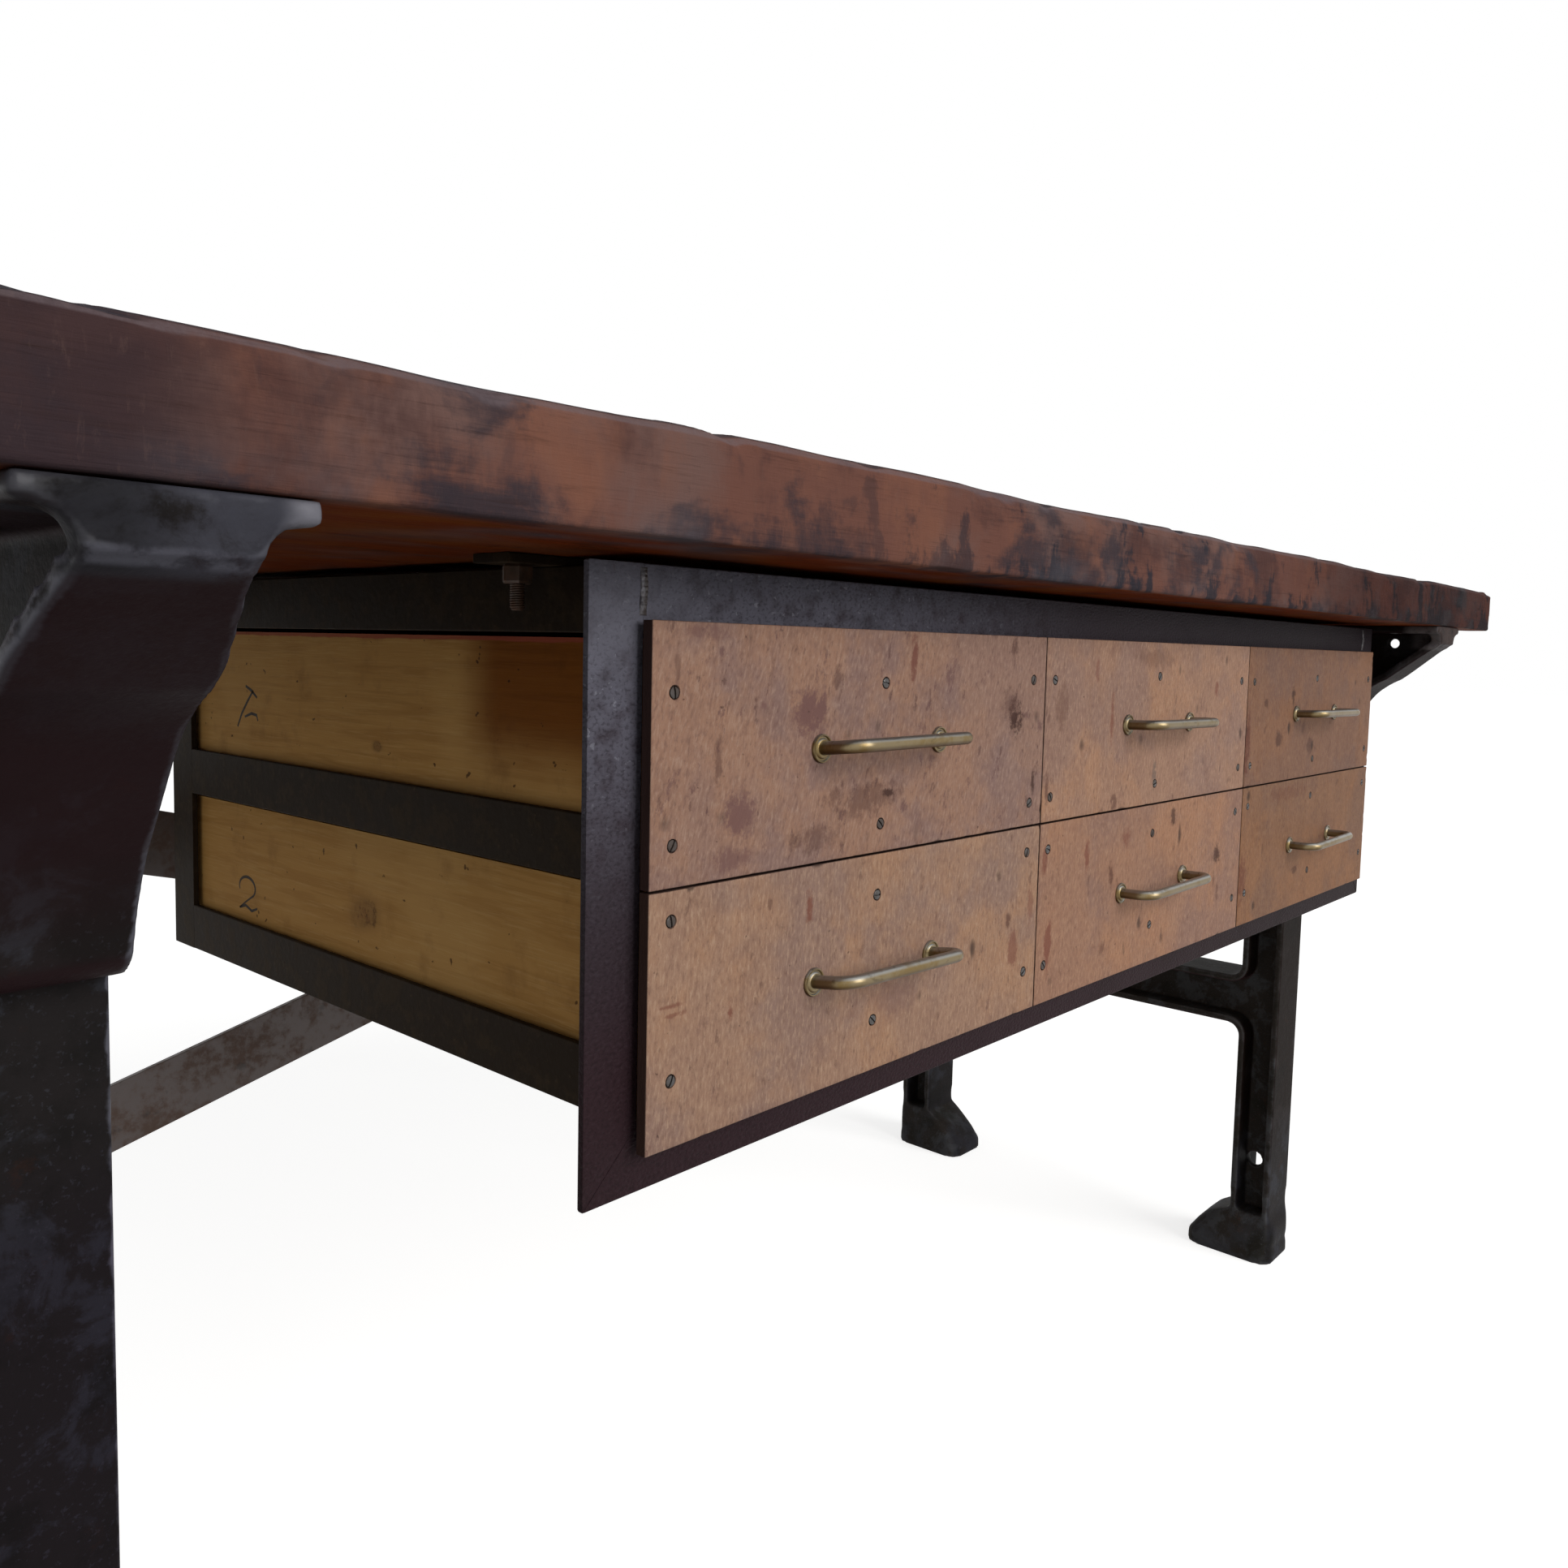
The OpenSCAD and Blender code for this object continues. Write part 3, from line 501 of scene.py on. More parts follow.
def greasy_wood(name, shift, under_z):
    paint, place, coat, feed = new_paint(name, (0.136, 0.061, 0.046))
    height = place.part("Z")
    along = place.part("X")
    left_end = (-0.748 - along).mask(-0.018, 0.026)
    shade_right_end = (along - 0.02).mask(0.0, 0.46)
    near_right = (along + 0.5).mask(0.0, 0.3)
    up = place.facing("Z")
    place = place.moved(*shift)
    fibres = place.stretched(3, 60, 60).grain(6, 8, 0.62, 0.6)
    pores = place.stretched(14, 420, 420).grain(3, 3, 0.6)
    strokes = place.moved(2, 8, 6).stretched(34, 34, 9).grain(9, 6, 0.7, 0.4)
    streaks = (fibres - 0.5) * 0.09 + (strokes - 0.5) * 0.11
    blotch = place.stretched(1.0, 1.4, 1.3).grain(11, 6, 0.6, 0.3) + streaks
    haze_and_reflection = place.moved(9, 4, 3).stretched(1.0, 1.6, 1.2).grain(8, 5, 0.58, 0.4) + streaks * 0.6
    grease = place.moved(5, 2, 1).stretched(1.0, 1.5, 1.5).grain(14, 6, 0.6, 0.3) + streaks
    daubs = place.moved(4, 9, 7).stretched(1.0, 1.0, 0.62).grain(34, 6, 0.64, 0.3) + streaks
    ember = place.moved(1, 7, 2).stretched(1.0, 1.0, 0.7).grain(15, 6, 0.6, 0.3) + streaks * 0.8
    low_edge = (under_z + 0.024 - height).mask(0.0, 0.024)
    # A grey greasy haze over the wood, partly a painted sky reflection.
    coat((0.14, 0.09, 0.08), haze_and_reflection.mask(0.46, 0.62) * 0.6)
    coat((0.058, 0.029, 0.027), blotch.mask(0.47, 0.64) * 0.75)
    coat((0.185, 0.08, 0.052), ember.mask(0.5, 0.68) * 0.75)
    coat((0.03, 0.026, 0.033), (grease + low_edge * 0.05).mask(0.5, 0.64) * 0.8)
    daubed = (daubs + low_edge * 0.09).mask(0.545, 0.64) * (0.25 + near_right * 0.65)
    coat((0.022, 0.022, 0.029), daubed)
    # A painted blue-grey sky reflection in the haze along the lower edge.
    coat((0.088, 0.078, 0.088), haze_and_reflection.mask(0.5, 0.66) * low_edge * 0.5)
    coat((0.036, 0.023, 0.026), left_end * 0.85)
    # Painted shade: the planks darken towards their right end.
    coat((0.34, 0.26, 0.26), shade_right_end, "MULTIPLY")
    # The rubbed arris is worn lighter, partly a painted highlight where it turns up, with a painted shade
    # line where it meets the top.
    worn_band_and_highlight = up.mask(0.26, 0.52) * (1 - up.mask(0.76, 0.9)) * (0.7 + strokes.mask(0.36, 0.6) * 0.3)
    coat((0.15, 0.116, 0.124), worn_band_and_highlight * (0.55 - shade_right_end * 0.45))
    arris_shade_line = up.mask(0.8, 0.92) * (1 - up.mask(0.97, 0.995))
    coat((0.022, 0.019, 0.026), arris_shade_line * 0.8)
    coat((0.034, 0.017, 0.013), fibres.mask(0.54, 0.74) * 0.35)
    coat((0.02, 0.011, 0.01), pores.mask(0.62, 0.75) * 0.3)
    coat((0.15, 0.088, 0.072), strokes.mask(0.56, 0.7) * (0.18 - shade_right_end * 0.12))
    below = (under_z + 0.0009 - height).mask(0.0, 0.0008)
    bare = place.plain((0.132, 0.024, 0.005)).tinted((0.058, 0.013, 0.004), fibres.mask(0.42, 0.62) * 0.7)
    bare = bare.tinted((0.15, 0.044, 0.008), blotch.mask(0.48, 0.66) * 0.6)
    coat(bare.tinted((0.03, 0.011, 0.006), grease.mask(0.54, 0.68) * 0.6), below)
    rough = 0.52 - grease.mask(0.54, 0.62) * 0.1 + fibres * 0.14
    feed(Roughness=rough, Specular_IOR_Level=0.012)
    feed(Normal=bumped(fibres * 0.6 + pores * 0.4 + strokes * 0.6 + grease * 0.4, 0.0011, 0.7))
    return paint


top_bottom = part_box("top_plank_front")[0][2]
SAWN = (0.0018, 0.0018)
for place_name, front_round, rear_round, lower_round, shift in (
    ("front", (0.012, 0.0075), SAWN, (0.0032, 0.0032), (0.0, 0.0, 0.0)),
    ("middle", SAWN, SAWN, SAWN, (3.3, 0.7, 0.0)),
    ("rear", SAWN, (0.0055, 0.0055), SAWN, (6.1, 1.9, 0.0)),
):
    node = "top_plank_" + place_name
    plank = worn_plank("worn_plank_" + place_name, node, front_round, rear_round, lower_round)
    give(plank, greasy_wood("greasy_wood_" + place_name, shift, top_bottom))
    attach(plank, "bench")
    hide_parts(node)


# Drawer case. Rolled angle and tee irons, cut and welded into an open cage, ground at the
# front corners, and painted a dark purple-brown whose skin dried in fine hammered dimples.
def hammered_paint():
    paint, place, coat, feed = new_paint("hammered_paint", (0.03, 0.022, 0.027))
    dimples = place.stretched(1, 1, 1.35).grain(400, 2, 0.5, 0.3)
    glints = place.moved(6, 3, 2).stretched(1, 1, 1.1).grain(230, 3, 0.6, 0.4)
    ripple = place.grain(70, 4, 0.5)
    grime = place.grain(16, 7, 0.66)
    along = place.part("X")
    height = place.part("Z")
    sheen = (height - 0.66).mask(0.0, 0.15)
    lit = (-0.1 - along).mask(-0.1, 0.3)
    shade_far_right = (along + 0.1).mask(0.0, 0.55)
    sheen_under_top = (height - 0.785).mask(0.0, 0.045)
    shade_low_down = (0.7 - height).mask(0.0, 0.12)
    # Painted sheen: lighter blue-grey towards the top and the left, with painted glints in the dimples there.
    coat((0.104, 0.101, 0.126), sheen * lit * ripple.mask(0.2, 0.58) * 0.9)
    coat((0.016, 0.012, 0.013), grime.mask(0.52, 0.7) * 0.45)
    coat((0.014, 0.011, 0.013), (1 - dimples.mask(0.34, 0.5)) * 0.45)
    coat((0.09, 0.088, 0.106), dimples.mask(0.54, 0.68) * (0.1 + sheen * lit * 0.3))
    coat((0.19, 0.19, 0.22), glints.mask(0.62, 0.69) * sheen * lit * 0.6)
    # A painted highlight on the left post just under the top, and painted shade low down and towards the
    # right.
    coat((0.15, 0.148, 0.178), sheen_under_top * (-0.42 - along).mask(0.0, 0.1) * 0.45)
    coat((0.74, 0.5, 0.5), shade_low_down, "MULTIPLY")
    coat((0.58, 0.54, 0.54), shade_far_right, "MULTIPLY")
    coat((0.055, 0.025, 0.014), place.moved(4, 1, 8).grain(45, 7, 0.72).mask(0.66, 0.74) * 0.5)
    feed(Roughness=0.42 + dimples * 0.16 + grime * 0.08)
    feed(Specular_IOR_Level=0.05, Normal=bumped(dimples + ripple * 0.4, 0.0012, 0.7))
    return paint


def sooty_paint():
    """The same irons behind the front, where the paint was laid thin over brown mill scale."""
    paint, place, coat, feed = new_paint("sooty_paint", (0.017, 0.01, 0.005))
    scale = place.grain(60, 6, 0.65)
    dust = place.grain(240, 4, 0.65)
    coat((0.036, 0.023, 0.012), scale.mask(0.46, 0.64) * 0.7)
    coat((0.085, 0.062, 0.036), dust.mask(0.64, 0.76) * 0.35)
    feed(Roughness=0.5 + scale * 0.18)
    feed(Specular_IOR_Level=0.055, Normal=bumped(scale * 0.6 + dust * 0.4, 0.0007, 0.6))
    return paint


case_paint = hammered_paint()
back_paint = sooty_paint()
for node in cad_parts:
    if node.startswith(("case_post_front", "case_rail_front")):
        eased(node, case_paint, 0.0009)
    elif node.startswith(("case_", "side_angle_", "tee_", "hanging_lugs")) and node != "case_corner_welds":
        eased(node, back_paint, 0.0009)


# Weld beads. At each upper front corner the rail is butted to the post and welded from the
# front, and the run was left as laid, lumpy and split by the seam, with rust in it.
def weld_bead(name, x, front_y, low_z, high_z):
    columns = 14
    rows = 60
    half_width = 0.0024
    height = 0.0023
    verts = []
    for i in range(rows + 1):
        z = low_z + (high_z - low_z) * i / rows
        swell = 0.5 + 0.5 * math.sin(i * 2 * math.pi / 6.5 + 0.8 * uneven(x * 9, 0, z * 210))
        drift = 0.0006 * uneven(x * 5, 3.0, z * 90)
        end = min(1.0, 4 * min(i, rows - i) / rows)
        for j in range(columns + 1):
            across = -1 + 2 * j / columns
            seam = 0.45 * math.exp(-(across * 4) ** 2)
            proud = (1 - across ** 2) ** 0.5 * (0.62 + 0.3 * swell) * (1 - seam)
            proud *= 0.75 + 0.5 * uneven(across * 2.3, x * 7, z * 330)
            verts.append((x + drift + half_width * across, front_y - height * min(1.0, proud * end), z))
    wide = columns + 1
    faces = [
        (i * wide + j, i * wide + j + 1, (i + 1) * wide + j + 1, (i + 1) * wide + j)
        for i in range(rows) for j in range(columns)
    ]
    bead = placed(name, drawn(name, verts, faces))
    bead.data.shade_smooth()
    depth = bead.modifiers.new("depth", "SOLIDIFY")
    depth.thickness = 0.0004
    return bead


def weld_paint(name, seam_x):
    """Grey lumps with painted glints, with the open seam down their right half filled with brown rust."""
    paint, place, coat, feed = new_paint(name, (0.052, 0.048, 0.054))
    rust = place.grain(300, 5, 0.65).mask(0.42, 0.62)
    seam = (place.part("X") - seam_x + rust * 0.0006).mask(-0.0003, 0.0009)
    # Painted glints on the lumps.
    coat((0.21, 0.205, 0.225), place.grain(150, 3, 0.6).mask(0.5, 0.64))
    coat((0.04, 0.022, 0.014), rust * 0.35)
    coat((0.016, 0.008, 0.005), seam * 0.92)
    feed(Roughness=0.42 + rust * 0.25)
    feed(Normal=bumped(place.grain(900, 3, 0.6), 0.0005, 0.6))
    return paint


welds_low, welds_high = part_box("case_corner_welds")
weld_half = 0.0025
for side, x in (("left", welds_low[0] + weld_half), ("right", welds_high[0] - weld_half)):
    bead = weld_bead("weld_bead_" + side, x, welds_high[1], welds_low[2], welds_high[2])
    give(bead, weld_paint("weld_run_" + side, x))
    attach(bead, "bench")
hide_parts("case_corner_welds")


# Hanging bolts. Four hanger bolts screwed up into the planks carry the case by its lugs; each
# has a coarse rusty thread and a tall hex nut with chamfered corners.
def turns(count):
    """The angles of points spaced evenly round a circle."""
    return [2 * math.pi * k / count for k in range(count)]


def skin_over(work, rings, closed=True):
    """Joins each ring of points to the next one, and closes the first and the last."""
    for a, b in zip(rings, rings[1:]):
        for k in range(len(a)):
            after = (k + 1) % len(a)
            work.faces.new((a[k], a[after], b[after], b[k]))
    work.faces.new(rings[0][::-1])
    if closed:
        work.faces.new(rings[-1])


def threaded_hanger(name, x, y, low_z, high_z, nut_low, nut_high):
    work = bmesh.new()

    def ring_at(z, reaches):
        return [work.verts.new((x + r * math.cos(turn), y + r * math.sin(turn), z)) for turn, r in reaches]

    around = 20
    per_turn = 6
    rows = round((high_z - low_z) / THREAD_PITCH * per_turn)
    rings = []
    for i in range(rows + 1):
        taper = 0.75 + 0.25 * min(1.0, 3 * i / per_turn / 4)
        reaches = []
        for j, turn in enumerate(turns(around)):
            wave = abs(((i / per_turn - j / around) % 1.0) * 2 - 1)
            reaches.append((turn, HANGER_R * taper * (0.86 + 0.14 * wave)))
        rings.append(ring_at(low_z + (high_z - low_z) * i / rows, reaches))
    skin_over(work, rings)
    sixth = math.pi / 3
    reaches = []
    for turn in turns(36):
        off_corner = sixth / 2 - abs((turn + sixth / 2) % sixth - sixth / 2)
        reaches.append((turn, NUT_CORNER * min(math.cos(sixth / 2) / math.cos(off_corner), 0.985)))
    chamfered = [(turn, r * 0.9) for turn, r in reaches]
    skin_over(work, [
        ring_at(nut_low, chamfered), ring_at(nut_low + NUT_CHAMFER, reaches),
        ring_at(nut_high - NUT_CHAMFER, reaches), ring_at(nut_high, chamfered),
    ])
    return finished(work, name)


hang_low, hang_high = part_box("hanging_bolts")
lug_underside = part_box("hanging_lugs")[0][2]
HANGER_R = 0.004
THREAD_PITCH = 0.00125
NUT_HALF = 0.0075
NUT_CORNER = NUT_HALF / math.cos(math.pi / 6)
NUT_HEIGHT = 0.01
NUT_CHAMFER = 0.0013
for row_name, y in (("front", hang_low[1] + NUT_HALF), ("rear", hang_high[1] - NUT_HALF)):
    for side, x in (("left", hang_low[0] + NUT_CORNER), ("right", hang_high[0] - NUT_CORNER)):
        hanger = threaded_hanger("hanger_%s_%s" % (row_name, side), x, y, hang_low[2], hang_high[2],
                                 lug_underside - NUT_HEIGHT, lug_underside)
        give(hanger, rusty_bolt)
        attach(hanger, "bench")
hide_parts("hanging_bolts")


# Drawer boxes. Bare old pine boards, yellowed and dirty at the edges, grooved for a thin
# plywood bottom; the boards run front to back with a few knots.
DRAWERS = ("left_upper", "left_lower", "middle_upper", "middle_lower", "right_upper", "right_lower")
# The knots that show: each one's place along Y, its height above the box's bottom, and its radius.
KNOTS = {"left_upper": [(-0.071, 0.0505, 0.0035)], "left_lower": [(-0.055, 0.063, 0.011)]}


def old_pine(name, shift, lit, knots=(), red_above=None, shadow_from=None):
    """Pine with its grain along Y, lit brighter by the factor lit, a painted light level. Each knot is
    (y, z, radius); a board can have a red top edge, and can carry a painted brown shadow towards
    its front end from a place (y, z)."""
    paint, place, coat, feed = new_paint(name, (0.45, 0.24, 0.078))
    across = place.moved(*shift)
    rings = across.stretched(24, 1.3, 24).grain(5, 5, 0.55, 0.9)
    fibres = across.stretched(190, 7, 190).grain(4, 4, 0.6)
    tone = across.stretched(1, 0.5, 1).grain(9, 5, 0.6)
    dirt = across.grain(22, 7, 0.65)
    specks = across.stretched(1, 0.8, 1).grain(140, 2, 0.5)
    coat((0.34, 0.165, 0.048), rings.mask(0.46, 0.62) * 0.55)
    coat((0.52, 0.3, 0.112), tone.mask(0.46, 0.62) * 0.55)
    coat((0.56, 0.35, 0.15), fibres.mask(0.5, 0.68) * 0.35)
    coat((0.23, 0.11, 0.038), dirt.mask(0.54, 0.72) * 0.45)
    # Painted light: the board's colour is scaled by the lit level.
    coat((lit, lit, lit * 0.92), 1.0, "MULTIPLY")
    coat((0.075, 0.034, 0.014), specks.mask(0.715, 0.745) * 0.85)
    for y, z, size in knots:
        away = place.moved(0, -y, -z).stretched(0, 0.62 / size, 1 / size).away() + (dirt - 0.5) * 2.2
        coat((0.23, 0.11, 0.04), (1 - away.mask(0.5, 1.7)) * 0.6)
        front_side = (y - place.part("Y") + (dirt - 0.5) * size).mask(-0.3 * size, 0.9 * size)
        rim = away.mask(0.66, 0.9) * (1 - away.mask(0.94, 1.12)) * place.grain(90, 5, 0.7).mask(0.4, 0.58)
        coat((0.045, 0.022, 0.01), rim * (0.12 + front_side * 0.75))
        checks = place.stretched(1, 2.6, 1.0).grain(170, 5, 0.7, 1.2).mask(0.52, 0.6)
        coat((0.055, 0.028, 0.012), (1 - away.mask(0.35, 1.05)) * checks * 0.8)
    # A painted cast shadow over the front end of the board, above the given height.
    if shadow_from:
        cast_shadow = (shadow_from[0] - place.part("Y")).mask(0.0, 0.05) * (place.part("Z") - shadow_from[1]).mask(0.0, 0.05)
        coat((0.4, 0.24, 0.1), cast_shadow, "MULTIPLY")
    if red_above:
        brushed = place.part("Z") + (dirt - 0.5) * 0.004
        coat((0.4, 0.085, 0.05), (brushed - red_above).mask(0.0, 0.0012) * 0.85)
    feed(Roughness=0.6 + fibres * 0.12, Specular_IOR_Level=0.08)
    feed(Normal=bumped(fibres * 0.6 + rings * 0.4, 0.0006, 0.6))
    return paint


for n, key in enumerate(DRAWERS):
    column, row = divmod(n, 2)
    drawer = "drawer_" + key
    low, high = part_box(drawer + "_box")
    knots = [(y, low[2] + z, size) for y, z, size in KNOTS.get(key, ())]
    red_above = high[2] - 0.0032 if row == 0 else None
    # The upper left box carries a painted shadow at its front end, and lit is a painted light level, higher
    # on the upper row.
    shadow_from = (-0.155, low[2] + 0.03) if key == "left_upper" else None
    shift = (column * 1.7, row * 2.3, column * 0.9 + row * 0.4)
    lit = 1.36 if row == 0 else 1.12
    pine = old_pine("old_pine_" + key, shift, lit, knots, red_above, shadow_from)
    eased(drawer + "_box", pine, 0.0009)
    eased(drawer + "_bottom", pine, 0.0004)


# Pencil marks. The joiner numbered the left drawers on their outer sides with a soft pencil:
# a one on the upper and a two on the lower.
PENCIL_WIDTH = 0.0023
MARK_FROM_REAR = 0.108
MARK_HEIGHTS = {"upper": 0.068, "lower": 0.051}
HOOK = [math.radians(200 - 240 * i / 14) for i in range(15)]
HOOK = [(-0.013 * math.cos(turn), 0.004 + 0.008 * math.sin(turn)) for turn in HOOK]
STROKES = {
    "upper": (
        [(-0.013, 0.012), (-0.004, 0.004), (0.006, -0.006), (0.013, -0.016)],
        [(-0.001, 0.015), (-0.01, 0.012), (-0.019, 0.007)],
        [(0.001, -0.008), (-0.01, -0.005), (-0.018, -0.006), (-0.02, -0.01)],
    ),
    "lower": (
        HOOK + [(0.0, -0.006), (0.013, -0.013)],
        [(0.013, -0.013), (0.003, -0.01), (-0.007, -0.013), (-0.016, -0.01)],
    ),
}


def pencil_mark(name, strokes, x, y, z):
    work = bmesh.new()
    for points in strokes:
        pairs = []
        for i, point in enumerate(points):
            before = Vector(points[max(0, i - 1)])
            along = (Vector(points[min(len(points) - 1, i + 1)]) - before).normalized()
            half = PENCIL_WIDTH / 2 * (0.3 + 0.7 * math.sin(math.pi * (i + 0.6) / (len(points) + 0.2)) ** 0.6)
            pairs.append([
                work.verts.new((x, y + point[0] + s * along[1] * half, z + point[1] - s * along[0] * half))
                for s in (-1, 1)
            ])
        for a, b in zip(pairs, pairs[1:]):
            work.faces.new((a[0], a[1], b[1], b[0]))
    mark = finished(work, name)
    thick = mark.modifiers.new("lead", "SOLIDIFY")
    thick.thickness = 0.00006
    thick.offset = 0
    return mark


pencil, pencil_place, pencil_coat, pencil_feed = new_paint("pencil_lead", (0.014, 0.011, 0.009))
lead_rub = pencil_place.grain(500, 3, 0.6).mask(0.4, 0.62)
pencil_coat((0.09, 0.05, 0.022), lead_rub * 0.4)
pencil_feed(Roughness=0.5 + lead_rub * 0.2, Specular_IOR_Level=0.1)
for level, strokes in STROKES.items():
    low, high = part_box("drawer_left_%s_box" % level)
    mark = pencil_mark("pencil_mark_" + level, strokes, low[0] - 0.00005,
                       high[1] - MARK_FROM_REAR, low[2] + MARK_HEIGHTS[level])
    give(mark, pencil)
    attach(mark, "drawer_left_" + level)


# Drawer fronts. Thin boards cut from scraped old panels: pinkish tan wood with an upright
# grain, glue and paint stains, pits, cracks and scratches, edges stained dark. Each is held to
# its box by six slotted screws set flush in drilled recesses.
SCREW_R = 0.003
RECESS_R = 0.0034
RECESS_DEPTH = 0.0018


def scraped_board(name, seed, low, high, screws):
    x0, y0, z0 = low
    x1, y1, z1 = high
    ease = 0.001
    near = (0.0, 0.14 * ease, 0.5 * ease, ease)

    def lines(a, b):
        count = round((b - a - 2 * ease) / 0.003)
        inner = [a + ease + (b - a - 2 * ease) * i / count for i in range(1, count)]
        return [a + t for t in near] + inner + [b - t for t in reversed(near)]

    def wear(x, z):
        """How far the face lies behind the flat board there."""
        rims = [max(0.0, ease - t) for t in (x - x0, x1 - x, z - z0, z1 - z)]
        depth = min(ease, sum(ease - math.sqrt(ease ** 2 - rim ** 2) for rim in rims))
        depth += 0.00022 * max(0.0, uneven(x * 55 + seed, 0, z * 24))
        depth += 0.0016 * max(0.0, uneven(x * 70, seed, z * 45) - 0.42)
        if min(x - x0, x1 - x, z - z0, z1 - z) < 0.0022:
            depth += 0.0018 * max(0.0, uneven(x * 85, seed + 4, z * 85) - 0.4)
        return depth

    across, up = lines(x0, x1), lines(z0, z1)
    wide, tall = len(across), len(up)
    verts = [(x, y0 + wear(x, z), z) for x in across for z in up]
    faces = [
        (i * tall + j, (i + 1) * tall + j, (i + 1) * tall + j + 1, i * tall + j + 1)
        for i in range(wide - 1) for j in range(tall - 1)
    ]
    rim = [i * tall for i in range(wide)] + [(wide - 1) * tall + j for j in range(1, tall)]
    rim += [i * tall + tall - 1 for i in range(wide - 2, -1, -1)] + list(range(tall - 2, 0, -1))
    start = len(verts)
    for k in rim:
        x, _, z = verts[k]
        saw = 0.0002 * (1 + uneven(x * 40, seed, z * 40))
        x = min(max(x, x0 + saw), x1 - saw)
        z = min(max(z, z0 + saw), z1 - saw)
        verts[k] = (x, verts[k][1], z)
        verts.append((x, y1, z))
    for k in range(len(rim)):
        after = (k + 1) % len(rim)
        faces.append((rim[after], rim[k], start + k, start + after))
    faces.append(tuple(range(start, start + len(rim))))
    board = placed(name, drawn(name, verts, faces))
    drills = bmesh.new()
    levels = ((y0 - 0.001, RECESS_R + 0.0014), (y0 + 0.0005, RECESS_R), (y0 + RECESS_DEPTH, RECESS_R))
    for x, z in screws:
        rings = []
        for y, r in levels:
            ring = []
            for turn in turns(28):
                out, up = math.cos(turn), math.sin(turn)
                bite = r * (1 + 0.1 * uneven(x * 300 + out, seed, z * 300 + up))
                ring.append(drills.verts.new((x + bite * out, y, z + bite * up)))
            rings.append(ring)
        skin_over(drills, rings)
    bmesh.ops.recalc_face_normals(drills, faces=drills.faces)
    cutter = finished(drills, name + "_drills")
    cut = board.modifiers.new("recesses", "BOOLEAN")
    cut.object = cutter
    cut.solver = "EXACT"
    graph = bpy.context.evaluated_depsgraph_get()
    board.data = bpy.data.meshes.new_from_object(board.evaluated_get(graph))
    board.modifiers.clear()
    bpy.data.objects.remove(cutter)
    board.data.shade_smooth()
    board.data.set_sharp_from_angle(angle=math.radians(42))
    return board


def slotted_screws(name, seed, face_y, back_y, screws):
    """Countersunk screws: a low round head cut by a slot, turned as it was left, and a shank."""
    work = bmesh.new()
    slot_half = 0.0005
    slot_depth = 0.0009
    dome = 0.0004
    edge = math.sqrt(SCREW_R ** 2 - slot_half ** 2)
    first = math.asin(slot_half / SCREW_R)
    arc = [first + (math.pi - 2 * first) * k / 14 for k in range(15)]
    half = [(SCREW_R * math.cos(t), SCREW_R * math.sin(t)) for t in arc]
    half += [(-edge + 2 * edge * k / 5, slot_half) for k in range(1, 5)]
    centre = SCREW_R * 0.48
    levels = ((1.0, face_y + slot_depth), (1.0, face_y + 0.00012), (0.94, None), (0.55, None))
    stem = ((SCREW_R, face_y + slot_depth), (SCREW_R, face_y + 0.0015), (0.0016, face_y + 0.0032),
            (0.0015, back_y - 0.004), (0.0004, back_y))
    for n, (x, z) in enumerate(screws):
        lean = math.radians((37 * n + 61 * seed) % 180)

        def point(u, v, y):
            return work.verts.new((x + u * math.cos(lean) - v * math.sin(lean), y,
                                   z + u * math.sin(lean) + v * math.cos(lean)))

        def crown(u, v):
            return face_y - dome * (1 - (u * u + v * v) / SCREW_R ** 2)

        for side in (1, -1):
            rings = []
            for shrink, y in levels:
                ring = []
                for u, v in half:
                    u = u * shrink
                    v = centre + (v - centre) * shrink
                    ring.append(point(u, side * v, crown(u, v) if y is None else y))
                rings.append(ring)
            skin_over(work, rings, closed=False)
            middle = point(0.0, side * centre, crown(0.0, centre))
            for a, b in zip(rings[-1], rings[-1][1:] + rings[-1][:1]):
                work.faces.new((a, b, middle))
        skin_over(work, [[point(r * math.cos(t), r * math.sin(t), y) for t in turns(20)] for r, y in stem])
    bmesh.ops.recalc_face_normals(work, faces=work.faces)
    made = finished(work, name)
    made.data.shade_smooth()
    made.data.set_sharp_from_angle(angle=math.radians(40))
    return made


STAIN_TONES = {
    "purple": (0.156, 0.078, 0.062),
    "brown": (0.105, 0.05, 0.034),
    "dark": (0.046, 0.018, 0.011),
    "red": (0.15, 0.052, 0.034),
    "grey": (0.095, 0.078, 0.068),
}


